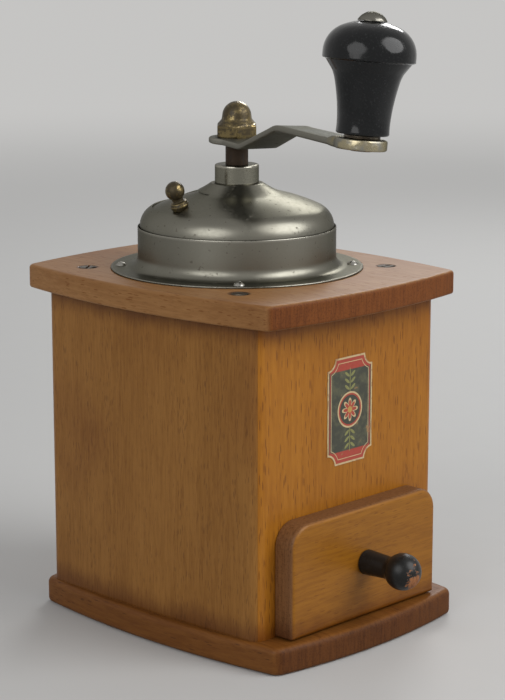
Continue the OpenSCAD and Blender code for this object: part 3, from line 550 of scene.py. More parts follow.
@dataclass(frozen=True)
class Lacquer:
    """Black paint on turned wood, worn through where hands and knocks reach it.

    Attributes:
        name: The material's name.
        paint: The paint's colour.
        wood: The bare wood's colour.
        gloss: The roughness of the paint.
        ripple: How uneven the paint is, in millimetres.
        chips: Where the paint starts to chip, from 0 for never to 1.
        bare: The middle of a bare patch in millimetres, and its radius, or None.
    """

    name: str
    paint: Colour
    wood: Colour
    gloss: float = 0.22
    ripple: float = 0.05
    chips: float = 0.3
    bare: Optional[tuple[float, float, float, float]] = None

    def build(self) -> bpy.types.Material:
        """Makes the material."""
        paint = Recipe(self.name)
        flow = paint.noise(paint.stretch((210, 210, 120), 0.2), 1.0, 2.0, 0.5)
        dust = paint.noise(paint.stretch((1300, 1300, 1300), 0.5), 1.0, 3.0, 0.6)
        cracks = paint.noise(paint.stretch((420, 420, 420), 0.9), 1.0, 5.0, 0.7)
        chip = (paint.worn() * self.chips + cracks - 0.5).rise(0.23, 0.27)
        if self.bare is not None:
            middle = tuple(value * MM for value in self.bare[:3])
            away = paint.node("ShaderNodeVectorMath", {"operation": "DISTANCE"}, {0: paint.point, 1: middle}, "Value")
            ragged = away / (self.bare[3] * MM) + (cracks - 0.5) * 2.6
            chip = chip.most(ragged.rise(0.92, 0.84))
        rim = chip.band(0.2, 0.8, 0.2)
        grain = paint.noise(paint.stretch((900, 900, 90), 0.1), 1.0, 3.0, 0.6)
        wood = paint.tint(self.wood, (0.45, 0.36, 0.3), grain.rise(0.45, 0.7))
        colour = paint.mix(self.paint, (0.030, 0.031, 0.032), dust.rise(0.54, 0.75) * 0.5)
        colour = paint.mix(colour, wood, chip)
        colour = paint.mix(colour, (0.10, 0.10, 0.10), rim * 0.5)
        rough = (self.gloss + 0.12 * (flow - 0.5) + 0.22 * (dust - 0.5) + chip * 0.4).clip()
        paint.set(Base_Color=colour, Roughness=rough, Specular_IOR_Level=0.3)
        paint.relief(flow * self.ripple + dust * 0.004 - chip * 0.05, 1.0, 0.9)
        return paint.material


@dataclass(frozen=True)
class Ticket:
    """A printed label with a generic rosette and sprigs inside double borders.

    Attributes:
        name: The material's name.
        width: The label's width.
        height: The label's height.
        notch: The radius of its hollow corners.
        middle: The height of its middle over the table.
    """

    name: str = "label_print"
    width: float = 27.0
    height: float = 44.0
    notch: float = 4.5
    middle: float = 96.5

    def build(self) -> bpy.types.Material:
        """Makes the material."""
        ink = Recipe(self.name)
        across, _, up = ink.axes()
        x = across / MM
        z = up / MM - self.middle
        side = self.width / 2 - abs(x)
        end = self.height / 2 - abs(z)
        corner = (side * side + end * end).maths("SQRT") - self.notch
        inside = side.least(end).least(corner)
        cream, red, ground = (0.50, 0.38, 0.20), (0.34, 0.035, 0.015), (0.030, 0.032, 0.018)
        mottle = ink.noise(ink.stretch((260, 260, 260), 0.3), 1.0, 4.0, 0.6)
        colour = ink.mix(ground, (0.07, 0.07, 0.035), mottle.rise(0.4, 0.65))
        tips = abs(z).rise(self.height / 2 - 5.6, self.height / 2 - 5.2)
        colour = ink.mix(colour, red, tips)
        colour = ink.mix(colour, cream, inside.band(2.15, 2.45, 0.06))
        colour = ink.mix(colour, red, inside.band(1.25, 1.75, 0.06))
        colour = ink.mix(colour, cream, inside.band(0.0, 0.75, 0.06))
        colour = self._sprigs(ink, colour, x, z)
        colour = self._rosette(ink, colour, x, z, cream, red)
        rubbed = (mottle + inside.rise(1.2, 0.0) * 0.12).rise(0.64, 0.70)
        colour = ink.mix(colour, (0.30, 0.16, 0.06), rubbed * 0.8)
        fine = ink.noise(ink.stretch((1400, 1400, 1400), 0.7), 1.0, 2.0, 0.6)
        colour = ink.tint(colour, (0.6, 0.5, 0.4), fine.rise(0.5, 0.75) * 0.5)
        ink.set(Base_Color=colour, Roughness=(0.36 + 0.2 * (mottle - 0.5) + rubbed * 0.2).clip())
        ink.set(Coat_Weight=0.25, Coat_Roughness=0.3)
        ink.relief(fine * 0.4 - rubbed, 0.02, 0.6)
        return ink.material

    @staticmethod
    def _rosette(ink: Recipe, colour: Signal, x: Signal, z: Signal, cream: Colour, red: Colour) -> Signal:
        """A round flower of eight petals in a ring.

        Args:
            ink: The material in the making.
            colour: The colour so far.
            x: The distance across from the label's middle.
            z: The distance up from it.
            cream: The light ink.
            red: The red ink.

        Returns:
            The colour with the rosette.
        """
        away = (x * x + z * z).maths("SQRT")
        turn = z.maths("ARCTAN2", x)
        petal = abs((turn * 4.0).maths("COSINE")) * 2.6 + 2.3
        colour = ink.mix(colour, cream, away.rise(7.5, 7.4))
        colour = ink.mix(colour, red, away.rise(6.8, 6.7))
        colour = ink.mix(colour, (0.03, 0.032, 0.018), away.rise(6.1, 6.0))
        colour = ink.mix(colour, cream, (petal - away).rise(0.0, 0.12))
        colour = ink.mix(colour, red, (petal - 0.9 - away).rise(0.0, 0.12))
        return ink.mix(colour, (0.42, 0.25, 0.05), away.rise(1.4, 1.3))

    @staticmethod
    def _sprigs(ink: Recipe, colour: Signal, x: Signal, z: Signal) -> Signal:
        """Two upright sprigs of paired leaves, over and under the middle.

        Args:
            ink: The material in the making.
            colour: The colour so far.
            x: The distance across from the label's middle.
            z: The distance up from it.

        Returns:
            The colour with the sprigs.
        """
        side, up = abs(x), abs(z)
        step = ((up - 8.0) / 2.7).maths("FRACT") * 2.7 - 1.35
        out = side - 1.75
        along = out * 0.80 + step * 0.60
        off = step * 0.80 - out * 0.60
        leaf = (along * along) / 2.7 + (off * off) / 0.33
        span = up.band(8.0, 16.0, 0.1)
        stem = side.rise(0.26, 0.18) * up.band(7.6, 17.2, 0.1)
        green = (0.20, 0.20, 0.06)
        return ink.mix(colour, green, (leaf.rise(1.1, 0.9) * span).most(stem))


# Surfaces


@dataclass(frozen=True)
class Place:
    """A turned and moved frame, in millimetres.

    Attributes:
        turn: The 3 by 3 rotation.
        origin: Where the frame's origin lies.
    """

    turn: np.ndarray
    origin: np.ndarray

    @staticmethod
    def at(x: float = 0.0, y: float = 0.0, z: float = 0.0) -> "Place":
        """An unturned frame at a point."""
        return Place(np.eye(3), np.array([x, y, z], float))

    def turned(self, axis: str, degrees: float) -> "Place":
        """This frame turned about one of its own axes."""
        spin = np.array(Matrix.Rotation(math.radians(degrees), 3, axis))
        return Place(self.turn @ spin, self.origin)

    def moved(self, x: float = 0.0, y: float = 0.0, z: float = 0.0) -> "Place":
        """This frame moved along its own axes."""
        return Place(self.turn, self.origin + self.turn @ np.array([x, y, z], float))

    def put(self, points: np.ndarray) -> np.ndarray:
        """Points of this frame, seen from the shared one."""
        return points @ self.turn.T + self.origin


@dataclass
class Surface:
    """Points in millimetres, the faces between them, and how worn each point is.

    A face has four corners, and a three-sided one repeats its last corner.
    """

    points: np.ndarray
    faces: np.ndarray
    wear: np.ndarray

    def flipped(self) -> "Surface":
        """The same surface seen from its other side."""
        return Surface(self.points, self.faces[:, ::-1], self.wear)

    def placed(self, place: Place) -> "Surface":
        """The surface in the shared frame."""
        return Surface(place.put(self.points), self.faces, self.wear)

    def crosses(self) -> tuple[np.ndarray, np.ndarray]:
        """The middle of each face and its normal times twice its area."""
        a, b, c, d = (self.points[self.faces[:, k]] for k in range(4))
        return (a + b + c + d) / 4, np.cross(c - a, d - b)

    def facing(self, way: Sequence[float]) -> "Surface":
        """The surface turned so that it mostly faces one way."""
        _, normals = self.crosses()
        return self if (normals @ np.asarray(way, float)).sum() >= 0 else self.flipped()

    def facing_from(self, point: Sequence[float]) -> "Surface":
        """The surface turned so that it mostly faces away from a point."""
        middles, normals = self.crosses()
        return self if ((middles - np.asarray(point, float)) * normals).sum() >= 0 else self.flipped()


def joined(*parts: Surface) -> Surface:
    """Puts surfaces together as one.

    Args:
        parts: The surfaces.

    Returns:
        All their points and faces.
    """
    starts = np.cumsum([0] + [len(p.points) for p in parts[:-1]])
    return Surface(
        np.concatenate([p.points for p in parts]),
        np.concatenate([p.faces + s for p, s in zip(parts, starts)]),
        np.concatenate([p.wear for p in parts]),
    )


def grid(points: np.ndarray, wear: Optional[np.ndarray] = None) -> Surface:
    """A surface over a grid of points: each four neighbours make a face.

    Args:
        points: An array of rows, columns and coordinates.
        wear: How worn each row or each point is.

    Returns:
        The surface.
    """
    rows, columns = points.shape[:2]
    index = np.arange(rows * columns).reshape(rows, columns)
    faces = np.stack([index[:-1, :-1], index[1:, :-1], index[1:, 1:], index[:-1, 1:]], -1)
    marks = np.zeros((rows, columns)) if wear is None else np.asarray(wear, float)
    if marks.ndim == 1:
        marks = np.repeat(marks[:, None], columns, axis=1)
    return Surface(points.reshape(-1, 3), faces.reshape(-1, 4), marks.reshape(-1))


def closed(surface: Surface) -> Surface:
    """Turns a closed surface outwards: the volume under its faces comes out positive.

    Args:
        surface: The closed surface.

    Returns:
        The surface with its faces outwards.
    """
    middles, normals = surface.crosses()
    return surface if (middles * normals).sum() >= 0 else surface.flipped()


@dataclass
class Profile:
    """A flat line of points with the outward normal and the wear of each."""

    points: np.ndarray
    normals: np.ndarray
    wear: np.ndarray


def rounded(corners: Sequence[tuple[float, float, float]], loop: bool = False, steps: int = 6, fade: float = 1.2) -> Profile:
    """A flat line with rounded corners.

    An arc of the corner's radius touches both straight parts, and a point on each straight part, at a
    short distance from the arc, ends the arc's wear.

    Args:
        corners: The two coordinates of each corner and the radius of its rounding.
        loop: Whether the last corner leads back to the first.
        steps: The steps in each arc.
        fade: How far wear reaches from an arc.

    Returns:
        The line, with normals on its right-hand side.
    """
    xy = np.array([c[:2] for c in corners], float)
    points, normals, wear = [], [], []
    last = len(corners) - 1
    for k, (x, y, radius) in enumerate(corners):
        here = np.array([x, y])
        back = xy[k - 1] - here
        ahead = xy[(k + 1) % len(xy)] - here
        if not loop and k in (0, last):
            run = ahead if k == 0 else -back
            run = run / np.linalg.norm(run)
            points.append(here[None])
            normals.append(np.array([[run[1], -run[0]]]))
            wear.append(np.zeros(1))
            continue
        into, out = -back / np.linalg.norm(back), ahead / np.linalg.norm(ahead)
        bend = math.atan2(into[0] * out[1] - into[1] * out[0], into @ out)
        side = 1.0 if bend > 0 else -1.0
        reach = radius * abs(math.tan(bend / 2))
        if radius <= 0 or abs(bend) < 1e-6:
            points.append(np.stack([here, here]))
            normals.append(np.stack([[into[1], -into[0]], [out[1], -out[0]]]))
            wear.append(np.zeros(2))
            continue
        start = here - into * reach
        centre = start + side * radius * np.array([-into[1], into[0]])
        first = math.atan2(*(start - centre)[::-1])
        turn = first + bend * np.linspace(0, 1, steps + 1)
        ray = np.stack([np.cos(turn), np.sin(turn)], -1)
        support = [min(fade, 0.45 * (np.linalg.norm(v) - reach)) for v in (back, ahead)]
        arc = [(start - into * max(support[0], 0.0))[None], centre + radius * ray,
               (here + out * (reach + max(support[1], 0.0)))[None]]
        points.append(np.concatenate(arc))
        turned = side * ray
        normals.append(np.concatenate([turned[:1], turned, turned[-1:]]))
        mark = np.full(steps + 3, 1.0 if side > 0 else 0.0)
        mark[[0, -1]] = 0.0
        wear.append(mark)
    made = Profile(np.concatenate(points), np.concatenate(normals), np.concatenate(wear))
    if loop:
        made = Profile(*(np.concatenate([v, v[:1]]) for v in (made.points, made.normals, made.wear)))
    return made


def lathe(profile: Profile, place: Optional[Place] = None, turns: int = 128) -> Surface:
    """Turns a profile about the Z axis: a point at (r, z) goes round a circle of radius r.

    Args:
        profile: Radii and heights.
        place: The frame that it is turned in.
        turns: The steps in a full turn.

    Returns:
        The closed surface, outwards.
    """
    angle = np.linspace(0, TAU, turns + 1)
    radius, height = profile.points[:, :1], profile.points[:, 1:]
    points = np.stack([radius * np.cos(angle), radius * np.sin(angle), height + 0 * angle], -1)
    surface = closed(grid(points, profile.wear))
    return surface.placed(place) if place else surface


def plate(outer: np.ndarray, inner: np.ndarray, keep: Optional[np.ndarray] = None, wraps: bool = False,
          wear: Optional[np.ndarray] = None) -> Surface:
    """A wall between two grids of points, with cells left out where it has openings.

    Args:
        outer: The outer side's points, in rows and columns.
        inner: The inner side's points.
        keep: Which cells are there.
        wraps: Whether the last column meets the first.
        wear: How worn each point of the outer side is.

    Returns:
        The closed wall, outwards.
    """
    rows, columns = outer.shape[:2]
    there = np.ones((rows - 1, columns - 1), bool) if keep is None else keep
    index = np.arange(rows * columns).reshape(rows, columns)
    cells = np.stack([index[:-1, :-1], index[1:, :-1], index[1:, 1:], index[:-1, 1:]], -1)[there]
    under = rows * columns
    sides = np.pad(there, ((0, 0), (1, 1)), mode="wrap" if wraps else "constant")
    ends = np.pad(there, ((1, 1), (0, 0)))
    before, after = sides[:, :-1], sides[:, 1:]
    below, above = ends[:-1], ends[1:]
    if wraps:
        before, after = before.copy(), after.copy()
        before[:, -1] = after[:, -1] = False
    walls = []
    for low, high, mask in (
        (index[1:], index[:-1], after & ~before),
        (index[:-1], index[1:], before & ~after),
    ):
        walls.append(np.stack([low[mask], high[mask], high[mask] + under, low[mask] + under], -1))
    for low, high, mask in (
        (index[:, :-1], index[:, 1:], above & ~below),
        (index[:, 1:], index[:, :-1], below & ~above),
    ):
        walls.append(np.stack([low[mask], high[mask], high[mask] + under, low[mask] + under], -1))
    faces = np.concatenate([cells, cells[:, ::-1] + under, *walls])
    marks = np.zeros(rows * columns) if wear is None else wear.reshape(-1)
    points = np.concatenate([outer.reshape(-1, 3), inner.reshape(-1, 3)])
    return closed(Surface(points, faces, np.concatenate([marks, marks * 0])))


def fill(loops: Sequence[np.ndarray], height: float, holes: Sequence[tuple[float, float, float]]) -> Surface:
    """Fills the flat space inside a bulging loop, except in its round holes, with triangles.

    Args:
        loops: The outer loop and the loops round the holes, as flat points.
        height: The height of the space.
        holes: The middle and radius of each hole.

    Returns:
        The flat surface, facing up.
    """
    sizes = [len(loop) for loop in loops]
    starts = np.cumsum([0] + sizes[:-1])
    edges = [(int(s + k), int(s + (k + 1) % n)) for s, n in zip(starts, sizes) for k in range(n)]
    flat = [Vector(p) for p in np.concatenate(loops).tolist()]
    found, _, faces, *_ = geometry.delaunay_2d_cdt(flat, edges, [], 0, 1e-6)
    points = np.array([[p.x, p.y, height] for p in found])
    corners = np.array(faces, int)
    middles = points[corners].mean(axis=1)[:, :2]
    solid = np.ones(len(corners), bool)
    for x, y, radius in holes:
        solid &= np.hypot(middles[:, 0] - x, middles[:, 1] - y) > radius
    corners = corners[solid]
    faces4 = np.concatenate([corners, corners[:, 2:]], axis=1)
    return Surface(points, faces4, np.zeros(len(points))).facing((0, 0, 1))


def circle(x: float, y: float, radius: float, steps: int = 48) -> np.ndarray:
    """The points of a circle, without its first point again."""
    angle = np.arange(steps) * TAU / steps
    return np.stack([x + radius * np.cos(angle), y + radius * np.sin(angle)], -1)


@dataclass(frozen=True)
class Hole:
    """A hole in a board's face: its middle, and the radii and depths down its wall.

    Attributes:
        x: The middle, across.
        y: The middle, in depth.
        wall: Radius and depth of each ring, from the face down. The last is closed off if its radius is 0.
        steps: The points round it.
    """

    x: float
    y: float
    wall: tuple[tuple[float, float], ...]
    steps: int = 48

    def surface(self, face: float, way: float) -> Surface:
        """The hole's wall.

        Args:
            face: The height of the face.
            way: 1 for a hole down from an upper face, or -1 for one up from a lower face.

        Returns:
            The wall, facing the hole's middle.
        """
        rings = [np.column_stack([circle(self.x, self.y, r, self.steps), np.full(self.steps, face - way * d)])
                 for r, d in self.wall]
        points = np.stack([np.concatenate([ring, ring[:1]]) for ring in rings])
        return grid(points).facing_from((self.x, self.y, face - way * 0.4 * self.wall[-1][1])).flipped()


def board(outline: Profile, edge: Profile, top: Sequence[Hole] = (), bottom: Sequence[Hole] = ()) -> Surface:
    """A flat board: an edge profile carried round an outline, with both faces filled in.

    A point of the edge lies at the outline's point less the outline's normal times the edge's inset, kept
    inside the outline's own box less that inset, so that small corners end in a point.

    Args:
        outline: The outline seen from above, anticlockwise.
        edge: Inset and height, from the lower face to the upper one.
        top: The holes in the upper face.
        bottom: The holes in the lower face.

    Returns:
        The board, outwards.
    """
    inset = edge.points[:, 0][:, None, None]
    low, high = outline.points.min(axis=0), outline.points.max(axis=0)
    flat = np.clip(outline.points - outline.normals * inset, low + inset, high - inset)
    height = np.broadcast_to(edge.points[:, 1][:, None, None], (*flat.shape[:2], 1))
    side = grid(np.concatenate([flat, height], -1), edge.wear)
    middle = outline.points.mean(axis=0)
    level = edge.points[:, 1].mean()
    parts = [side.facing_from((*middle, level))]
    for row, holes, way in ((-1, top, 1), (0, bottom, -1)):
        face = edge.points[row, 1]
        rim = np.unique(np.round(flat[row], 5), axis=0)
        rim = rim[np.argsort(np.arctan2(*(rim - middle).T[::-1]))]
        loops = [rim] + [circle(h.x, h.y, h.wall[0][0], h.steps) for h in holes]
        cap = fill(loops, face, [(h.x, h.y, h.wall[0][0] - 0.01) for h in holes])
        parts.append(cap if way > 0 else cap.flipped())
        parts += [h.surface(face, way) for h in holes]
    return joined(*parts)


# Pieces


def piece(name: str, surface: Surface, body: str, nodes: Sequence[str], finish: bpy.types.Material,
          crease: float = 32.0, bevel: float = 0.0) -> bpy.types.Object:
    """Makes one Blender object of a surface and hangs it on its body.

    Points within a tenth of a micron become one, which closes seams and poles.

    Args:
        name: The piece's name.
        surface: Its surface, in millimetres.
        body: The body that it rides on.
        nodes: The solid nodes that it stands for.
        finish: Its material.
        crease: The angle in degrees over which an edge stays sharp.
        bevel: The width of a bevel along its sharp edges.

    Returns:
        The object.
    """
    keys = np.round(surface.points / WELD).astype(np.int64)
    _, first, back = np.unique(keys, axis=0, return_index=True, return_inverse=True)
    faces = back.reshape(-1)[surface.faces]
    same = faces == np.roll(faces, -1, axis=1)
    count = same.sum(axis=1)
    four = faces[count == 0]
    three = faces[count == 1][~same[count == 1]].reshape(-1, 3)
    mesh = bpy.data.meshes.new(name)
    mesh.from_pydata((surface.points[first] * MM).tolist(), [], four.tolist() + three.tolist())
    mesh.attributes.new("wear", "FLOAT", "POINT").data.foreach_set("value", surface.wear[first].astype(np.float32))
    made = bpy.data.objects.new(name, mesh)
    bpy.context.scene.collection.objects.link(made)
    return finished(made, body, nodes, finish, crease, bevel)


def finished(made: bpy.types.Object, body: str, nodes: Sequence[str], finish: bpy.types.Material,
             crease: float, bevel: float) -> bpy.types.Object:
    """Shades an object, gives it its finish and hangs it on its body.

    Args:
        made: The object.
        body: The body that it rides on.
        nodes: The solid nodes that it stands for.
        finish: Its material.
        crease: The angle in degrees over which an edge stays sharp.
        bevel: The width of a bevel along its sharp edges.

    Returns:
        The object.
    """
    mesh = made.data
    mesh.validate()
    mesh.shade_smooth()
    mesh.set_sharp_from_angle(angle=math.radians(crease))
    mesh.materials.clear()
    mesh.materials.append(finish)
    if bevel:
        cut = made.modifiers.new("arris", "BEVEL")
        cut.width = bevel * MM
        cut.segments = 3
        cut.limit_method = "ANGLE"
        cut.angle_limit = math.radians(40)
        cut.harden_normals = True
    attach(made, body)
    if nodes:
        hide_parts(*nodes)
    LOG.info("%s: %d faces on %s", made.name, len(mesh.polygons), body)
    return made


def recut(name: str, node: str, body: str, finish: bpy.types.Material, crease: float = 30.0,
          bevel: float = 0.0) -> bpy.types.Object:
    """Copies a solid node's mesh, closes it and shades it smoothly, where its shape is right.

    Args:
        name: The piece's name.
        node: The solid node that is copied and stood for.
        body: The body that it rides on.
        finish: Its material.
        crease: The angle in degrees over which an edge stays sharp.
        bevel: The width of a bevel along its sharp edges.

    Returns:
        The object.
    """
    work = bmesh.new()
    work.from_mesh(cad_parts[node].data)
    bmesh.ops.remove_doubles(work, verts=work.verts, dist=2e-6)
    if bevel:
        bmesh.ops.dissolve_limit(work, angle_limit=math.radians(1), verts=work.verts, edges=work.edges)
    mesh = bpy.data.meshes.new(name)
    work.to_mesh(mesh)
    work.free()
    made = bpy.data.objects.new(name, mesh)
    bpy.context.scene.collection.objects.link(made)
    return finished(made, body, [node], finish, crease, bevel)


def dress(node: str, finish: bpy.types.Material) -> None:
    """Gives a solid node that shows as it is its material.

    Args:
        node: The node's name.
        finish: Its material.
    """
    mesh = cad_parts[node].data
    mesh.materials.clear()
    mesh.materials.append(finish)
    LOG.info("%s: dressed as it is", node)


def arc(x: float, y: float, radius: float, low: float, high: float, steps: int) -> np.ndarray:
    """The points of an arc: the middle plus the radius times the cosine and sine of the angle.

    Args:
        x: The middle, across.
        y: The middle, in depth.
        radius: The arc's radius.
        low: Its first angle, in radians.
        high: Its last angle.
        steps: The steps between them.

    Returns:
        The points, from the first angle to the last.
    """
    angle = np.linspace(low, high, steps + 1)
    return np.column_stack([x + radius * np.cos(angle), y + radius * np.sin(angle)])


def bowed_outline(half_x: float, half_y: float, shift: float, bow_x: float, bow_y: float, corner: float) -> Profile:
    """The outline of a board with four bowed sides, as in the part's source.

    Each side is an arc through its two corners, and a corner's arc touches both its sides.

    Args:
        half_x: Half the width between the corners.
        half_y: Half the depth between them.
        shift: How far the board's middle lies behind the spindle.
        bow_x: How far the long sides bow out, 0 for straight ones.
        bow_y: How far the front and back bow out, 0 for straight ones.
        corner: The radius of the corners.

    Returns:
        The outline, anticlockwise, with its first point again at its end.
    """
    side = (half_y**2 + bow_x**2) / (2 * bow_x)
    ax = half_x + bow_x - side
    if bow_y:
        end = (half_x**2 + bow_y**2) / (2 * bow_y)
        by = half_y + bow_y - end
        a, b, d = side - corner, end - corner, math.hypot(ax, by)
        along = (a * a - b * b + d * d) / (2 * d)
        aside = math.sqrt(a * a - along * along)
        cx = ax - ax / d * along - by / d * aside
        cy = by / d * along - ax / d * aside
        meet = math.atan2(cy - by, cx)
    else:
        by = end = 0.0
        cy = half_y - corner
        cx = ax + math.sqrt((side - corner) ** 2 - cy * cy)
        meet = math.pi / 2
    start = math.atan2(cy, cx - ax)
    arcs = [(ax, 0, side, -start, start, 28), (cx, cy, corner, start, meet, 10)]
    if bow_y:
        arcs.append((0, by, end, meet, math.pi - meet, 28))
    arcs += [(-cx, cy, corner, math.pi - meet, math.pi - start, 10), (-ax, 0, side, math.pi - start, math.pi + start, 28),
             (-cx, -cy, corner, math.pi + start, math.pi + meet, 10)]
    if bow_y:
        arcs.append((0, -by, end, math.pi + meet, TAU - meet, 28))
    arcs.append((cx, -cy, corner, TAU - meet, TAU - start, 10))
    points, normals = [], []
    for x, y, radius, low, high, steps in arcs:
        angle = np.linspace(low, high, steps + 1)
        ray = np.stack([np.cos(angle), np.sin(angle)], -1)
        points.append(np.array([x, y + shift]) + radius * ray)
        normals.append(ray)
    flat, ray = np.concatenate(points), np.concatenate(normals)
    fresh = np.append(np.linalg.norm(np.diff(flat, axis=0), axis=1) > 1e-6, True)
    flat, ray = flat[fresh], ray[fresh]
    flat[-1], ray[-1] = flat[0], ray[0]
    return Profile(flat, ray, np.zeros(len(flat)))


@dataclass
class Case:
    """The wooden box: base board, four mitred panels, top board and label."""

    base_half: tuple[float, float] = (54.2, 68.4)
    base_shift: float = -5.8
    base_bow: tuple[float, float] = (6.0, 5.6)
    base_corner: float = 5.0
    base_t: float = 11.1
    base_round: float = 2.6
    base_foot: float = 1.8
    top_half: tuple[float, float] = (56.2, 69.55)
    top_shift: float = -1.65
    top_bow: tuple[float, float] = (7.6, 5.5)
    top_corner: float = 3.5
    top_t: float = 9.8
    top_round: float = 1.5
    body_half: tuple[float, float] = (53.6, 61.0)
    body_shift: float = -2.0
    body_bow: float = 2.5
    body_corner: float = 5.0
    inner_x: float = 41.6
    inner_front: float = 51.0
    inner_back: float = 47.0
    opening_top: float = 52.1
    plate_z: float = 137.5
    deck_z: float = 147.3
    recess: tuple[float, float] = (45.3, 34.7)
    recess_depth: float = 1.6
    screw: tuple[float, float] = (44.0, 44.0)
    base_screw: tuple[float, float] = (47.6, 40.0)
    head_r: float = 3.75

    def countersink(self, x: float, y: float) -> Hole:
        """The sunk hole round a wood screw's head."""
        rim = self.head_r
        return Hole(x, y, ((rim + 0.45, 0.0), (rim, 0.3), (rim - 0.05, 0.5), (1.85, 2.1), (0.0, 2.15)), 40)

    def base_board(self) -> Surface:
        """The base board: its edge profile carried round its bowed outline."""
        outline = bowed_outline(*self.base_half, self.base_shift, *self.base_bow, self.base_corner)
        edge = rounded([(4.4, 0.0, 0.0), (0.0, 0.0, self.base_foot), (0.0, self.base_t, self.base_round),
                        (4.8, self.base_t, 0.0)], steps=7, fade=1.0)
        x, y = self.base_screw
        holes = [self.countersink(sx * x, sy * y) for sx in (-1, 1) for sy in (-1, 1)]
        return board(outline, edge, bottom=holes)

    def top_board(self) -> Surface:
        """The top board, with the recess that the hopper hangs in."""
        outline = bowed_outline(*self.top_half, self.top_shift, *self.top_bow, self.top_corner)
        edge = rounded([(3.2, self.plate_z, 0.0), (0.0, self.plate_z, 1.1), (0.0, self.deck_z, self.top_round),
                        (3.3, self.deck_z, 0.0)], steps=7, fade=1.0)
        x, y = self.screw
        holes = [self.countersink(sx * x, sy * y) for sx in (-1, 1) for sy in (-1, 1)]
        wide, narrow = self.recess
        well = Hole(0, 0, ((wide, 0.0), (wide, self.recess_depth), (narrow, self.recess_depth), (narrow, self.top_t)), 96)
        return board(outline, edge, top=[*holes, well], bottom=[Hole(0, 0, ((narrow, 0.0),), 96)])

    def wall_line(self, name: str) -> np.ndarray:
        """The outer line of one panel, seen from above, from one mitre to the next.

        The side panels are a long bow between two half corners, and the front and back are a straight
        line between two half corners. A mitre runs out at 45 degrees from the cavity's corner, and meets
        the corner's arc at 45 degrees less the arcsine of its distance from the arc's middle over the radius.

        Args:
            name: left, right, front or back.

        Returns:
            The line's points.
        """
        half_x, half_y = self.body_half
        bow, corner = self.body_bow, self.body_corner
        side = (half_y**2 + bow**2) / (2 * bow)
        ax = half_x + bow - side
        cy = half_y - corner
        cx = ax + math.sqrt((side - corner) ** 2 - cy * cy)
        start = math.atan2(cy, cx - ax)
        off = (self.inner_x - cx) - (self.inner_back - cy - self.body_shift)
        mitre = math.pi / 4 - math.asin(off / math.sqrt(2) / corner)
        if name in ("left", "right"):
            half = np.concatenate([arc(ax, 0, side, 0, start, 20), arc(cx, cy, corner, start, mitre, 8)[1:]])
            line = np.concatenate([half[::-1] * [1, -1], half[1:]])
            line = line if name == "right" else line * [-1, 1]
        else:
            spread = np.concatenate([np.linspace(0, 36, 7), [self.inner_x]])
            flat = np.column_stack([spread, np.full(len(spread), half_y)])
            half = np.concatenate([flat, arc(cx, cy, corner, math.pi / 2, mitre, 8)])
            line = np.concatenate([half[::-1] * [-1, 1], half[1:]])
            line = line if name == "back" else line * [1, -1]
        return line + [0, self.body_shift]

    def panel(self, name: str) -> Surface:
        """One mitred panel: its outer line and the cavity's flat side, both carried up the box.

        Args:
            name: left, right, front or back. The front one has the drawer's opening.

        Returns:
            The closed panel.
        """
        line = self.wall_line(name)
        low = np.array([-self.inner_x, -self.inner_front])
        high = np.array([self.inner_x, self.inner_back])
        side = 0 if name in ("left", "right") else 1
        if name in ("right", "back"):
            low[side] = high[side]
        else:
            high[side] = low[side]
        back = np.clip(line, low, high)
        front = name == "front"
        levels = np.array([self.base_t, self.opening_top, self.plate_z] if front else [self.base_t, self.plate_z])
        outer, inner = (np.stack([np.column_stack([flat, np.full(len(flat), z)]) for z in levels])
                        for flat in (line, back))
        keep = np.ones((len(levels) - 1, len(line) - 1), bool)
        if front:
            keep[0] = np.abs(line[1:, 0] + line[:-1, 0]) / 2 > self.inner_x
        return plate(outer, inner, keep)

    def dress(self, woods: dict[str, bpy.types.Material], screws: bpy.types.Material) -> None:
        """Builds the box's pieces.

        Args:
            woods: Its woods, by name.
            screws: The finish of its wood screws.
        """
        piece("base_board", self.base_board(), "case", ["base_plate"], woods["base"])
        piece("top_board", self.top_board(), "case", ["top_plate"], woods["top"])
        for name, wood in (("front", "front"), ("back", "front"), ("left", "side"), ("right", "side")):
            piece(f"{name}_board", self.panel(name), "case", [f"{name}_panel"], woods[wood], bevel=0.1)
        for node in ("top_screws", "base_screws"):
            recut(f"{node}_cut", node, "case", screws)
        dress("front_label", Ticket().build())


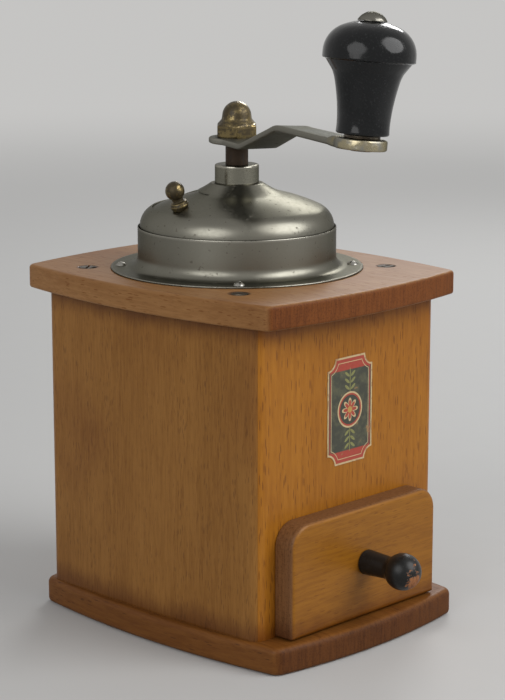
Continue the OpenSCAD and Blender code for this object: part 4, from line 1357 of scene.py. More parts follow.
@dataclass
class Cover:
    """The steel over the mill: the ring, the dome with its hatch, and the collar."""

    deck_z: float = 147.3
    ring_r: float = 41.3
    ring_h: float = 17.4
    ring_t: float = 0.8
    flare_r: float = 4.4
    flange_r: float = 52.6
    dome_z: float = 164.7
    dome_r: float = 40.4
    dome_rise: float = 15.8
    shoulder_r: float = 9.0
    dome_t: float = 0.6
    lip_z: float = 182.6
    neck_r: float = 10.9
    neck_end: float = 19.5
    neck_rise: float = 2.8
    bore_r: float = 6.55
    hatch_in: float = 16.0
    hatch_out: float = 35.3
    hatch_from: float = 92.0
    hatch_to: float = 182.0
    slider_off: float = 0.75
    slider_t: float = 0.7
    slider_in: float = 6.9
    slider_ring: float = 11.5
    slider_r: float = 36.9
    slider_lap: float = 4.0
    knob_at: float = 173.76
    knob_r: float = 30.0
    knob_seat: float = 1.2
    collar_r: float = 9.15
    collar_h: float = 7.7

    @property
    def crown_r(self) -> float:
        """The radius of the dome's crown arc, which touches the shoulder's arc."""
        rise, inner = self.dome_rise, self.dome_r - self.shoulder_r
        return (inner**2 + rise**2 - self.shoulder_r**2) / (2 * (rise - self.shoulder_r))

    @property
    def split(self) -> float:
        """The radius at which the crown meets the shoulder."""
        return (self.dome_r - self.shoulder_r) * self.crown_r / (self.crown_r - self.shoulder_r)

    def height(self, radius: np.ndarray, off: float) -> np.ndarray:
        """The dome's height at a radius, on a surface that lies off inside it.

        Args:
            radius: The distances from the spindle's axis.
            off: How far inside the dome the surface lies.

        Returns:
            The heights: the crown's arc, and past its end the shoulder's.
        """
        crown, shoulder = self.crown_r, self.shoulder_r
        middle = self.dome_r - shoulder
        meet = middle * (crown - off) / (crown - shoulder)
        arc = self.dome_z + self.dome_rise - crown + np.sqrt(np.maximum((crown - off) ** 2 - radius**2, 0))
        edge = self.dome_z + np.sqrt(np.maximum((shoulder - off) ** 2 - (radius - middle) ** 2, 0))
        return np.where(radius < meet, arc, edge)

    def neck(self, radius: np.ndarray) -> np.ndarray:
        """How far the pressed neck round the collar stands over the crown's arc, a falling power curve."""
        part = np.clip((self.neck_end - radius) / (self.neck_end - self.neck_r), 0, 1)
        return self.neck_rise * part**1.75

    def under(self, radius: np.ndarray, off: float) -> np.ndarray:
        """The height inside the dome: the neck is left out near the collar, where the dome is thick.

        Args:
            radius: The distances from the spindle's axis.
            off: How far inside the dome the surface lies.

        Returns:
            The heights.
        """
        return self.height(radius, off) + self.neck(radius) * _step((radius - self.slider_ring) / 3)

    def ring(self) -> Surface:
        """The ring: wall, bend and flange of one sheet, turned round the axis."""
        wall, base, thick = self.ring_r, self.deck_z, self.ring_t
        loop = [(wall, self.dome_z, 0.38), (wall - thick, self.dome_z, 0.38), (wall - thick, base, self.flare_r + thick),
                (self.flange_r, base, 0.3), (self.flange_r, base + thick, 0.45), (wall, base + thick, self.flare_r)]
        return lathe(rounded(loop, loop=True, steps=8, fade=0.8), turns=192)

    def dome(self) -> Surface:
        """The dome: its profile turned round the axis, with the hatch's cells left out."""
        foot = self.neck_r + 0.7
        slope = np.array(foot)
        lip = rounded([(self.bore_r, self.lip_z, 0.0), (self.neck_r, self.lip_z, 0.8),
                       (foot, float(self.height(slope, 0) + self.neck(slope)), 0.0)], steps=6, fade=0.3)
        radii = np.concatenate([np.linspace(foot, self.hatch_in, 14)[1:], np.linspace(self.hatch_in, self.split, 30),
                                [self.hatch_out]])
        radii = np.unique(np.round(radii, 6))
        radii = radii[radii <= self.split + 1e-6]
        crown = np.column_stack([radii, self.height(radii, 0) + self.neck(radii)])
        start = math.acos((self.split - self.dome_r + self.shoulder_r) / self.shoulder_r)
        cut = math.acos((self.hatch_out - self.dome_r + self.shoulder_r) / self.shoulder_r)
        angle = np.unique(np.concatenate([np.linspace(start, 0, 16)[1:], [cut]]))[::-1]
        ray = np.column_stack([np.cos(angle), np.sin(angle)])
        middle = np.array([self.dome_r - self.shoulder_r, self.dome_z])
        skirt = np.array([[self.dome_r, self.dome_z - 2], [self.dome_r, self.deck_z + 0.1]])
        outer = np.concatenate([lip.points, crown, middle + self.shoulder_r * ray, skirt])
        flat = np.concatenate([lip.points[:, 0], radii])
        inner = np.concatenate([
            np.column_stack([flat, self.under(flat, self.dome_t)]),
            middle + (self.shoulder_r - self.dome_t) * ray,
            skirt - [self.dome_t, 0],
        ])
        turns = np.unique(np.concatenate([np.linspace(0, 360, 181), [self.hatch_from, self.hatch_to]]))
        spin = np.radians(turns)
        round_up = lambda p: np.stack([p[:, :1] * np.cos(spin), p[:, :1] * np.sin(spin), p[:, 1:] + 0 * spin], -1)
        between = (turns[1:] + turns[:-1]) / 2
        rings = (outer[1:, 0] + outer[:-1, 0]) / 2
        level = (outer[1:, 1] + outer[:-1, 1]) / 2
        over = (rings > self.hatch_in) & (rings < self.hatch_out) & (level > self.dome_z + 1)
        gone = over[:, None] & ((between > self.hatch_from) & (between < self.hatch_to))[None, :]
        wear = np.zeros((len(outer), len(spin)))
        wear[: len(lip.wear)] = lip.wear[:, None]
        return plate(round_up(outer), round_up(inner), ~gone, wraps=True, wear=wear)

    def slider(self) -> Surface:
        """The slider under the dome: a ring round the collar and a curved leaf."""
        radii = np.unique(np.concatenate([[self.slider_in, self.slider_ring], np.linspace(self.slider_ring, self.slider_r, 22)]))
        low, high = self.hatch_from - self.slider_lap, self.hatch_to + self.slider_lap
        turns = np.unique(np.concatenate([np.linspace(0, 360, 121), [low, high]]))
        spin = np.radians(turns)
        up = lambda off: np.stack([radii[:, None] * np.cos(spin), radii[:, None] * np.sin(spin),
                                   self.under(radii, off)[:, None] + 0 * spin], -1)
        between = (turns[1:] + turns[:-1]) / 2
        rings = (radii[1:] + radii[:-1]) / 2
        leaf = (between > low) & (between < high)
        keep = (rings < self.slider_ring)[:, None] | leaf[None, :]
        return plate(up(self.slider_off), up(self.slider_off + self.slider_t), keep, wraps=True)

    def knob(self) -> Surface:
        """The hatch's knob: a turned foot, neck and ball, square to the dome."""
        tilt = math.degrees(math.asin(self.knob_r / self.crown_r))
        place = Place.at(z=self.dome_z + self.dome_rise - self.crown_r).turned("Z", self.knob_at).turned("Y", tilt)
        place = place.moved(z=self.crown_r - self.knob_seat)
        ball, centre = 3.95, 8.5
        low = self.knob_seat - self.slider_off + 0.02
        angle = np.linspace(-0.95, math.pi / 2, 22)
        arc = np.column_stack([ball * np.cos(angle), centre + ball * np.sin(angle)])
        foot = rounded([(0.0, low, 0.0), (3.3, low, 0.2), (3.9, 2.2, 0.9), (3.2, 3.6, 0.6), (2.25, 4.1, 0.5),
                        tuple(arc[0]) + (0.0,)], steps=5, fade=0.1)
        points = np.concatenate([foot.points, arc[1:]])
        wear = np.concatenate([foot.wear, np.zeros(len(arc) - 1)])
        return lathe(Profile(points, points * 0, wear), place, 64)

    def collar(self) -> Surface:
        """The collar, turned from bar, with its spigot through the dome."""
        top = self.lip_z + self.collar_h
        loop = [(4.75, top, 0.25), (4.75, 173.2, 0.0), (6.5, 173.2, 0.0), (6.5, self.lip_z, 0.0),
                (self.collar_r, self.lip_z, 0.2), (self.collar_r, top, 0.65)]
        return lathe(rounded(loop, loop=True, steps=6, fade=0.5), turns=128)

    def dress(self, finishes: dict[str, bpy.types.Material]) -> None:
        """Builds the cover's pieces.

        Args:
            finishes: The metals, by name.
        """
        piece("ring_sheet", self.ring(), "case", ["cover_ring"], finishes["sheet"])
        piece("dome_sheet", self.dome(), "case", ["dome_cover"], finishes["sheet"], bevel=0.12)
        piece("collar_turned", self.collar(), "case", ["dome_collar"], finishes["turned"])
        piece("slider_leaf", self.slider(), "hatch", ["hatch_slider"], finishes["sheet"], bevel=0.1)
        piece("hatch_ball_knob", self.knob(), "hatch", ["hatch_knob"], finishes["brass"])
        recut("keeper_ring", "collar_keeper", "case", finishes["turned"], bevel=0.15)
        recut("flange_screws_cut", "flange_screws", "case", finishes["bright"], bevel=0.12)


@dataclass
class CrankSet:
    """The crank: spindle, bent strip, cap nut, and the grip on its pin."""

    angle: float = -117.0
    length: float = 135.8
    hub_z: float = 199.1
    hub_r: float = 11.6
    hub_w: float = 19.5
    strip_t: float = 2.5
    bend1: float = 25.4
    bend2: float = 63.3
    rise: float = 11.1
    end_rise: float = 1.4
    lean: float = 5.3
    width1: float = 16.6
    width2: float = 14.4
    boss_r: float = 9.2
    boss_t: float = 4.0
    boss_up: float = 1.2
    nut_half: float = 8.0
    nut_hex: float = 5.6
    nut_top: float = 6.0
    nut_h: float = 14.6
    nut_turn: float = -19.0
    grip_r: float = 16.6
    cap_h: float = 13.8
    cap_r: float = 10.5
    cap_side: float = 2.0
    stem_h: float = 26.3
    foot_r: float = 9.3
    neck_r: float = 13.8
    grip_z: float = 1.4
    spindle_r: float = 4.7

    @property
    def slope(self) -> float:
        """The slope of the strip's outer part, in radians."""
        return math.atan(self.end_rise / (self.length - self.bend2))

    def boss(self) -> Place:
        """The frame on top of the boss, with Z along the grip's pin."""
        place = Place.at().turned("Z", self.angle).moved(self.bend2, 0, self.hub_z + self.strip_t / 2 + self.rise)
        place = place.turned("X", -self.lean).turned("Y", -math.degrees(self.slope))
        return place.moved((self.length - self.bend2) / math.cos(self.slope), 0, self.strip_t / 2 + self.boss_up)

    def half_width(self, x: np.ndarray) -> np.ndarray:
        """Half the strip's width along its length: hub, tapering strip and boss, blended smoothly.

        Args:
            x: The distances from the spindle.

        Returns:
            Half the width at each.
        """
        stops = [-self.hub_r, 0, self.bend1, self.bend2, self.length, self.length + self.boss_r]
        widths = [0, self.hub_w / 2, self.width1 / 2, self.width2 / 2, self.boss_r - 0.6, 0]
        strip = np.where((x > 0) & (x < self.length), np.interp(x, stops, widths), 0)
        hub = np.sqrt(np.maximum(self.hub_r**2 - x**2, 0))
        boss = np.sqrt(np.maximum(self.boss_r**2 - (x - self.length) ** 2, 0))
        power = 14.0
        return (strip**power + hub**power + boss**power) ** (1 / power)

    def strip(self) -> Surface:
        """The strip: a rounded section carried along the bent line.

        The outline's points go round the strip seen from above. Each ring of the section lies inside
        the outline by its inset, and the flat faces are columns between the outline's two long sides.
        A point then lies at the bent line's point plus its offsets across and square to the strip.

        Returns:
            The closed strip.
        """
        cap = self.hub_r * (1 - np.cos(np.linspace(0, math.pi / 2, 22)))
        tail = self.boss_r * (1 - np.cos(np.linspace(0, math.pi / 2, 20)))
        x = np.unique(np.round(np.concatenate([cap - self.hub_r, np.linspace(1.5, self.length - 1, 110),
                                               self.length + self.boss_r - tail]), 6))
        y = self.half_width(x)
        y[0] = y[-1] = 0
        outline = np.concatenate([np.column_stack([x, -y]), np.column_stack([x, y])[::-1][1:-1]])
        ahead, behind = np.roll(outline, -1, axis=0), np.roll(outline, 1, axis=0)
        run = ahead - behind
        run /= np.linalg.norm(run, axis=1)[:, None]
        normal = np.column_stack([run[:, 1], -run[:, 0]])
        soft = 0.85
        turn = np.linspace(0, math.pi / 2, 6)
        inset = np.concatenate([soft * (1 - np.sin(turn)), (soft * (1 - np.sin(turn)))[::-1]])
        share = np.concatenate([-1 + 0 * turn, 1 + 0 * turn])
        drop = np.concatenate([soft * (1 - np.cos(turn)), -(soft * (1 - np.cos(turn)))[::-1]])
        rings = outline - normal * inset[:, None, None]
        along = rings[..., 0]
        top, under = self.faces(along)
        height = np.where(share[:, None] > 0, top, under) + drop[:, None]
        wear = np.repeat((1 - np.abs(inset / soft - 0.3))[:, None], outline.shape[0], axis=1).clip(0, 1)
        loop = np.stack([along, rings[..., 1], height], -1)
        loop = np.concatenate([loop, loop[:, :1]], axis=1)
        wear = np.concatenate([wear, wear[:, :1]], axis=1)
        side = grid(self.bent(loop), wear)
        count = len(x)
        parts = [side]
        for row in (0, -1):
            right = loop[row, :count]
            left = np.concatenate([loop[row, :1], loop[row, count:-1][::-1], loop[row, count - 1 : count]])
            part = np.linspace(0, 1, 9)[:, None, None]
            flat = right * (1 - part) + left * part
            parts.append(grid(self.bent(flat), np.zeros(flat.shape[:2])))
        up = Place.at().turned("Z", self.angle)
        middle = self.bent(np.array([[[40.0, 0.0, 0.0]]]))[0, 0]
        parts[1] = parts[1].facing((0, 0, -1))
        parts[2] = parts[2].facing((0, 0, 1))
        parts[0] = self.outwards(parts[0], x)
        return joined(*parts).placed(Place(up.turn, np.array([0.0, 0.0, self.hub_z])))

    def outwards(self, side: Surface, x: np.ndarray) -> Surface:
        """Turns the strip's rim away from its middle line."""
        middles, normals = side.crosses()
        return side if (middles[:, 1] * normals[:, 1]).sum() > 0 else side.flipped()

    def faces(self, x: np.ndarray) -> tuple[np.ndarray, np.ndarray]:
        """The heights of the upper and lower face over the strip's middle plane.

        Args:
            x: The distances from the spindle.

        Returns:
            Both heights, which step smoothly out at the boss.
        """
        start = self.length - self.boss_r
        share = np.clip((x - start + 5.5) / 7.5, 0, 1)
        share = share * share * (3 - 2 * share)
        half = self.strip_t / 2
        top = half + share * self.boss_up
        under = -half - share * (self.boss_t - self.strip_t - self.boss_up)
        return top, under

    def bent(self, points: np.ndarray) -> np.ndarray:
        """Carries points of the straight strip onto the bent one.

        The line's height is the running sum of its slope, which steps smoothly at each bend, and the
        part beyond the second bend leans about the line itself.

        Args:
            points: Distance along, across and over the strip's middle plane.

        Returns:
            The points with the hub's lower face at z = 0.
        """
        x = np.linspace(-20, self.length + 20, 3501)
        first = self.rise / (self.bend2 - self.bend1)
        ease = lambda middle, width: _step((x - middle) / width + 0.5)
        slope = first * ease(self.bend1, 7.0) + (math.tan(self.slope) - first) * ease(self.bend2, 9.0)
        lift = np.concatenate([[0], np.cumsum((slope[1:] + slope[:-1]) / 2 * np.diff(x))])
        lean = math.radians(self.lean) * _step((x - self.bend2 + 6) / 14)
        aside = np.concatenate([[0], np.cumsum(np.diff(x) * 0.5 * (np.sin(lean[1:]) + np.sin(lean[:-1])) * math.tan(self.slope))])
        at = lambda values: np.interp(points[..., 0], x, values)
        tilt, roll = np.arctan(at(slope)), at(lean)
        across, over = points[..., 1], points[..., 2]
        side = across * np.cos(roll) + over * np.sin(roll)
        up = -across * np.sin(roll) + over * np.cos(roll)
        return np.stack([points[..., 0] - up * np.sin(tilt), at(aside) + side,
                         self.strip_t / 2 + at(lift) + up * np.cos(tilt)], -1)

    def nut(self) -> Surface:
        """The cap nut: a six-sided foot with a turned chamfer, a hollow shoulder and a ball top.

        At a height and an angle, its radius is the smaller of the hexagon's and the turned profile's,
        blended with a high power so that the corners are slightly soft.

        Returns:
            The closed nut.
        """
        ball = np.linspace(0.12, math.pi / 2, 20)
        centre = self.nut_h - self.nut_top
        dome = np.column_stack([self.nut_top * np.cos(ball), centre + self.nut_top * np.sin(ball)])
        shape = rounded([(0.0, 0.0, 0.0), (8.7, 0.0, 0.3), (9.9, 0.8, 0.6), (9.9, self.nut_hex - 1.25, 0.5),
                         (7.75, self.nut_hex, 0.5), (6.25, self.nut_hex + 1.7, 1.6), tuple(dome[0]) + (0.0,)],
                        steps=6, fade=0.4)
        profile = np.concatenate([shape.points, dome[1:]])
        wear = np.concatenate([shape.wear, np.zeros(len(dome) - 1)])
        angle = np.linspace(0, TAU, 241)
        local = (angle + math.pi / 6) % (math.pi / 3) - math.pi / 6
        flat = self.nut_half / np.cos(local + 0 * local)
        radius = profile[:, :1]
        low = (profile[:, 1:] < self.nut_hex + 0.3) & (radius > 0.1)
        power = 40.0
        blend = (radius.clip(0.1) ** -power + flat[None, :] ** -power) ** (-1 / power)
        radius = np.where(low, blend, radius + 0 * angle)
        points = np.stack([radius * np.cos(angle), radius * np.sin(angle), profile[:, 1:] + 0 * angle], -1)
        corner = np.exp(-(((np.abs(local) - math.pi / 6) / 0.035) ** 2))[None, :] * low
        marks = np.maximum(wear[:, None] * 0.7, corner)
        place = Place.at(z=self.hub_z + self.strip_t).turned("Z", self.angle + self.nut_turn + 30)
        return closed(grid(points, marks)).placed(place)

    def grip(self) -> Surface:
        """The grip: a hollow-sided stem that flares into a rounded cap, with its bore for the pin."""
        sweep = self.neck_r - self.foot_r
        radius = (sweep**2 + self.stem_h**2) / (2 * sweep)
        up = np.linspace(0.9, self.stem_h - 6.5, 22)
        stem = np.column_stack([self.foot_r + radius - np.sqrt(radius**2 - up**2), up])
        stem[:, 0] += 0.35 * np.exp(-up / 2.2)
        inner, rise = self.grip_r - self.cap_r, self.cap_h - self.cap_side
        crown = (inner**2 + rise**2 - self.cap_r**2) / (2 * (rise - self.cap_r))
        meet = math.pi / 2 - math.atan2(inner, crown - rise)
        foot = self.stem_h + self.cap_side
        low = np.linspace(0, meet, 16)
        side = np.column_stack([inner + self.cap_r * np.cos(low), foot + self.cap_r * np.sin(low)])
        high = np.linspace(meet, math.pi / 2 - math.asin(4.6 / crown), 16)[1:]
        over = np.column_stack([crown * np.cos(high), foot + rise - crown + crown * np.sin(high)])
        start = rounded([(3.0, over[-1, 1], 0.0), (3.0, 0.0, 0.2), (stem[0, 0] + 0.05, 0.0, 0.8), tuple(stem[0]) + (0.0,)],
                        steps=5, fade=0.1)
        flare = rounded([tuple(stem[-1]) + (0.0,), (stem[-1, 0] + 0.75, stem[-1, 1] + 2.0, 6.0),
                         (self.grip_r - 1.2, self.stem_h - 0.5, 0.5), (self.grip_r, self.stem_h - 0.1, 0.5),
                         tuple(side[0]) + (0.0,)], steps=6, fade=0.2)
        points = np.concatenate([start.points, stem[1:], flare.points[1:], side[1:], over, [[3.0, over[-1, 1]]]])
        wear = np.concatenate([start.wear, np.zeros(len(stem) - 1), flare.wear[1:], np.zeros(len(side) - 1 + len(over) + 1)])
        return lathe(Profile(points, points * 0, wear), self.boss().moved(z=self.grip_z), 144)

    def pin(self) -> Surface:
        """The pin: its peened foot, shank and domed head, slightly uneven from the hammer."""
        seat = self.grip_z + self.stem_h + self.cap_h - 0.3
        ball = (5.4**2 + 3.4**2) / (2 * 3.4)
        sweep = np.linspace(math.acos(5.25 / ball), math.pi / 2, 18)
        dome = np.column_stack([ball * np.cos(sweep), seat + 3.4 - ball + ball * np.sin(sweep)])
        foot = rounded([(0.0, -4.5, 0.0), (3.9, -4.5, 0.4), (4.3, -4.05, 0.1), (2.9, -4.0, 0.0), (2.9, seat, 0.0),
                        (5.35, seat, 0.15), tuple(dome[0]) + (0.0,)], steps=4, fade=0.1)
        points = np.concatenate([foot.points, dome[1:]])
        wear = np.concatenate([foot.wear, np.linspace(1, 0, len(dome) - 1)])
        made = lathe(Profile(points, points * 0, wear), None, 72)
        x, y, z = made.points.T
        bump = np.sin(1.7 * x + 0.6) * np.cos(1.9 * y - 0.4) * np.sin(1.3 * z + 0.3)
        made.points[:, 2] += np.where(z > seat + 0.5, 0.09 * bump, 0)
        return made.placed(self.boss())

    def spindle(self) -> Surface:
        """The spindle, turned from bar, from under the mill to inside the cap nut."""
        line = [(0.0, 63.0, 0.0), (self.spindle_r, 63.0, 0.6), (self.spindle_r, 198.9, 0.2), (3.4, 199.2, 0.0),
                (3.4, 210.0, 0.2), (0.0, 210.0, 0.0)]
        return lathe(rounded(line, steps=4, fade=0.3), None, 64)

    def washer(self) -> Surface:
        """The washer under the grip."""
        loop = [(2.95, 0.1, 0.1), (6.5, 0.1, 0.2), (6.5, 1.3, 0.35), (2.95, 1.3, 0.2)]
        return lathe(rounded(loop, loop=True, steps=4, fade=0.3), self.boss(), 64)

    def dress(self, finishes: dict[str, bpy.types.Material]) -> None:
        """Builds the crank's pieces.

        Args:
            finishes: The metals and the lacquer, by name.
        """
        piece("spindle_bar", self.spindle(), "crank", ["spindle"], finishes["rust"])
        piece("crank_strip", self.strip(), "crank", ["crank_arm"], finishes["crank"], crease=50)
        piece("cap_nut_turned", self.nut(), "crank", ["cap_nut"], finishes["nut"], crease=60)
        piece("grip_pin_hammered", self.pin(), "crank", ["grip_pin"], finishes["pin"])
        piece("grip_washer_ring", self.washer(), "crank", ["grip_washer"], finishes["dark"])
        piece("grip_turned", self.grip(), "grip", ["crank_grip"], finishes["lacquer"])


def _step(value: np.ndarray) -> np.ndarray:
    """A smooth step from 0 to 1 as the value goes from 0 to 1."""
    part = np.clip(value, 0, 1)
    return part * part * (3 - 2 * part)


@dataclass
class Mill:
    """The mill inside the box: hopper, bridges, bushes, burrs, spring and adjusting nut."""

    foot: float = 104.6
    head: float = 144.1
    spring_r: float = 6.0
    wire_r: float = 0.7
    coils: float = 8.5

    def spring(self) -> Surface:
        """The spring: a round wire carried along a helix that closes up at both ends."""
        turn = np.linspace(0, self.coils * TAU, int(self.coils * 40) + 1)
        share = turn / turn[-1]
        low, high = self.foot + self.wire_r, self.head - self.wire_r
        pace = np.clip(np.minimum(share, 1 - share) / 0.11, 0.12, 1.0)
        climb = np.concatenate([[0], np.cumsum((pace[1:] + pace[:-1]) / 2)])
        rise = low + (high - low) * climb / climb[-1]
        centre = np.column_stack([self.spring_r * np.cos(turn), self.spring_r * np.sin(turn), rise])
        out = np.column_stack([np.cos(turn), np.sin(turn), 0 * turn])
        run = np.gradient(centre, axis=0)
        run /= np.linalg.norm(run, axis=1)[:, None]
        up = np.cross(out, run)
        around = np.linspace(0, TAU, 13)
        wire = centre[:, None] + self.wire_r * (out[:, None] * np.cos(around)[None, :, None]
                                                + up[:, None] * np.sin(around)[None, :, None])
        ends = [np.repeat(centre[k][None, None], 13, axis=1) for k in (0, -1)]
        return closed(grid(np.concatenate([ends[0], wire, ends[1]])))

    def dress(self, finishes: dict[str, bpy.types.Material]) -> None:
        """Builds the mill's pieces.

        Args:
            finishes: The metals, by name.
        """
        piece("burr_spring_coil", self.spring(), "crank", ["burr_spring"], finishes["spring"])
        recut("hopper_cast", "mill_hopper", "case", finishes["iron"])
        recut("upper_bridge_bar", "upper_bridge", "case", finishes["bridge"], bevel=0.25)
        recut("lower_bridge_bar", "lower_bridge", "case", finishes["bridge"], bevel=0.25)
        recut("upper_bush_turned", "upper_bush", "case", finishes["bearing"])
        recut("lower_bush_turned", "lower_bush", "case", finishes["bearing"])
        recut("bridge_screws_cut", "bridge_screws", "case", finishes["bright"])
        recut("lower_screws_cut", "lower_screws", "case", finishes["bright"])
        recut("outer_burr_cut", "outer_burr", "case", finishes["burr"])
        recut("inner_burr_cut", "inner_burr", "burr", finishes["burr"])
        recut("adjuster_cut", "adjusting_nut", "adjuster", finishes["bearing"])


@dataclass
class Drawer:
    """The drawer: its front board and knob, and the tray behind them."""

    front_w: float = 87.6
    front_h: float = 46.2
    front_t: float = 9.6
    corner: float = 9.5
    front_z: float = 11.6
    front_y: float = 63.1
    knob_up: float = 23.0
    knob_l: float = 26.8
    ball_r: float = 7.5
    foot_r: float = 5.2
    neck_r: float = 4.7

    def front(self) -> Surface:
        """The front board: rounded upper corners and a soft arris all round."""
        half, high = self.front_w / 2, self.front_h
        outline = rounded([(-half, 0, 0.9), (half, 0, 0.9), (half, high, self.corner), (-half, high, self.corner)],
                          loop=True, steps=12, fade=0.5)
        edge = rounded([(4.0, 0.0, 0.0), (0.0, 0.0, 0.35), (0.0, self.front_t, 1.7), (5.0, self.front_t, 0.0)],
                       steps=6, fade=1.2)
        place = Place.at(0, -self.front_y, self.front_z).turned("X", 90)
        return board(outline, edge).placed(place)

    def knob(self) -> Surface:
        """The knob: a conical foot, a waist and a ball, turned in one."""
        centre = self.knob_l - self.ball_r
        low = -math.acos(self.neck_r / self.ball_r) + 0.06
        angle = np.linspace(low, math.pi / 2, 34)
        ball = np.column_stack([self.ball_r * np.cos(angle), centre + self.ball_r * np.sin(angle)])
        stem = rounded([(0.0, 0.0, 0.0), (self.foot_r, 0.0, 0.5), (self.foot_r - 0.05, 1.5, 2.0),
                        (self.neck_r - 0.15, ball[0, 1] - 1.2, 4.0), tuple(ball[0]) + (0.0,)], steps=8, fade=0.2)
        points = np.concatenate([stem.points, ball[1:]])
        wear = np.concatenate([stem.wear * 0.5, np.clip((angle[1:] - 0.1), 0, 1)])
        place = Place.at(0, -self.front_y - self.front_t, self.front_z + self.knob_up).turned("X", 90)
        return lathe(Profile(points, points * 0, wear), place, 96)

    def dress(self, woods: dict[str, bpy.types.Material], finishes: dict[str, bpy.types.Material]) -> None:
        """Builds the drawer's pieces.

        Args:
            woods: Its woods, by name.
            finishes: The metals and paints, by name.
        """
        piece("drawer_face_board", self.front(), "drawer", ["drawer_front"], woods["face"])
        piece("drawer_knob_turned", self.knob(), "drawer", ["drawer_knob"], finishes["paint"])
        for name in ("left", "right", "back", "bottom"):
            recut(f"drawer_{name}_board", f"drawer_{name}", "drawer", woods["tray"], bevel=0.4)
        dress("drawer_pins", finishes["bright"])
        dress("knob_screw", finishes["dark"])


@dataclass
class Studio:
    """A pale floor, soft lamps, plain surroundings and the camera at the photograph's angle."""

    camera_at: tuple[float, float, float] = (-0.6442, -0.62506, 0.30274)
    azimuth: float = -46.276
    elevation: float = 12.02
    lens: float = 112.2
    pale: Colour = (0.56, 0.555, 0.545)
    floor_colour: Colour = (0.50, 0.495, 0.485)
    surround: float = 0.34
    lamps: tuple[tuple[str, tuple[float, float, float], tuple[float, float], float], ...] = (
        ("key", (0.5, -1.3, 1.1), (1.5, 1.5), 24.0),
        ("back", (0.98, 0.55, 0.74), (0.5, 0.34), 4.2),
        ("fill", (-1.25, -0.25, 0.75), (1.1, 1.1), 7.0),
    )

    def build(self) -> None:
        """Sets up the floor, the lamps, the surroundings and the camera."""
        self._floor()
        self._surroundings()
        for lamp in self.lamps:
            self._lamp(*lamp)
        self._camera()
        bpy.context.scene.view_settings.view_transform = "Standard"

    def _floor(self) -> None:
        """A wide round floor that fades into the surroundings."""
        radii = np.concatenate([[0.0], np.geomspace(100, 9000, 24)])
        angle = np.linspace(0, TAU, 97)
        points = np.stack([radii[:, None] * np.cos(angle), radii[:, None] * np.sin(angle), 0 * radii[:, None] * angle - 0.2], -1)
        surface = grid(points).facing((0, 0, 1))
        mesh = bpy.data.meshes.new("floor")
        keys = np.round(surface.points / WELD).astype(np.int64)
        _, first, back = np.unique(keys, axis=0, return_index=True, return_inverse=True)
        faces = back.reshape(-1)[surface.faces]
        same = faces == np.roll(faces, -1, axis=1)
        count = same.sum(axis=1)
        three = faces[count == 1][~same[count == 1]].reshape(-1, 3)
        mesh.from_pydata((surface.points[first] * MM).tolist(), [], faces[count == 0].tolist() + three.tolist())
        floor = bpy.data.objects.new("floor", mesh)
        bpy.context.scene.collection.objects.link(floor)
        plain = Recipe("floor_paint")
        away = plain.node("ShaderNodeVectorMath", {"operation": "LENGTH"}, {0: plain.point}, "Value")
        grain = plain.noise(plain.stretch((60, 60, 60)), 1.0, 3.0)
        plain.set(Base_Color=self.floor_colour, Roughness=(0.62 + 0.1 * grain), Specular_IOR_Level=0.2)
        glow = plain.node("ShaderNodeEmission", None, {"Color": (*self.pale, 1.0), "Strength": 1.0})
        share = away.rise(0.55, 2.2)
        mixed = plain.node("ShaderNodeMixShader", None, {0: share, 1: Signal(plain, plain.shader.outputs[0]), 2: glow})
        end = next(n for n in plain.tree.nodes if n.type == "OUTPUT_MATERIAL")
        plain.tree.links.new(mixed.socket, end.inputs["Surface"])
        mesh.materials.append(plain.material)

    def _surroundings(self) -> None:
        """Even light all round, which the camera and shiny surfaces see as the pale background."""
        world = bpy.data.worlds.new("surroundings")
        bpy.context.scene.world = world
        world.use_nodes = True
        tree = world.node_tree
        tree.nodes.clear()
        path = tree.nodes.new("ShaderNodeLightPath")
        seen = tree.nodes.new("ShaderNodeMath")
        seen.operation = "MAXIMUM"
        shiny = tree.nodes.new("ShaderNodeMath")
        shiny.operation = "MAXIMUM"
        tree.links.new(path.outputs["Is Camera Ray"], seen.inputs[0])
        tree.links.new(path.outputs["Is Glossy Ray"], seen.inputs[1])
        tree.links.new(seen.outputs[0], shiny.inputs[0])
        tree.links.new(path.outputs["Is Transmission Ray"], shiny.inputs[1])
        light = tree.nodes.new("ShaderNodeBackground")
        light.inputs["Color"].default_value = (0.96, 0.98, 1.0, 1.0)
        light.inputs["Strength"].default_value = self.surround
        view = tree.nodes.new("ShaderNodeBackground")
        view.inputs["Color"].default_value = (*self.pale, 1.0)
        view.inputs["Strength"].default_value = 1.0
        both = tree.nodes.new("ShaderNodeMixShader")
        tree.links.new(shiny.outputs[0], both.inputs[0])
        tree.links.new(light.outputs[0], both.inputs[1])
        tree.links.new(view.outputs[0], both.inputs[2])
        end = tree.nodes.new("ShaderNodeOutputWorld")
        tree.links.new(both.outputs[0], end.inputs["Surface"])

    @staticmethod
    def _lamp(name: str, at: tuple[float, float, float], size: tuple[float, float], power: float) -> None:
        """Hangs one soft lamp that faces the object.

        Args:
            name: The lamp's name.
            at: Where it hangs, in metres.
            size: Its width and height.
            power: Its power in watts.
        """
        data = bpy.data.lights.new(name, "AREA")
        data.shape = "ELLIPSE"
        data.size, data.size_y = size
        data.energy = power
        lamp = bpy.data.objects.new(name, data)
        lamp.location = at
        lamp.rotation_euler = (Vector((0, 0, 0.12)) - Vector(at)).to_track_quat("-Z", "Y").to_euler()
        bpy.context.scene.collection.objects.link(lamp)

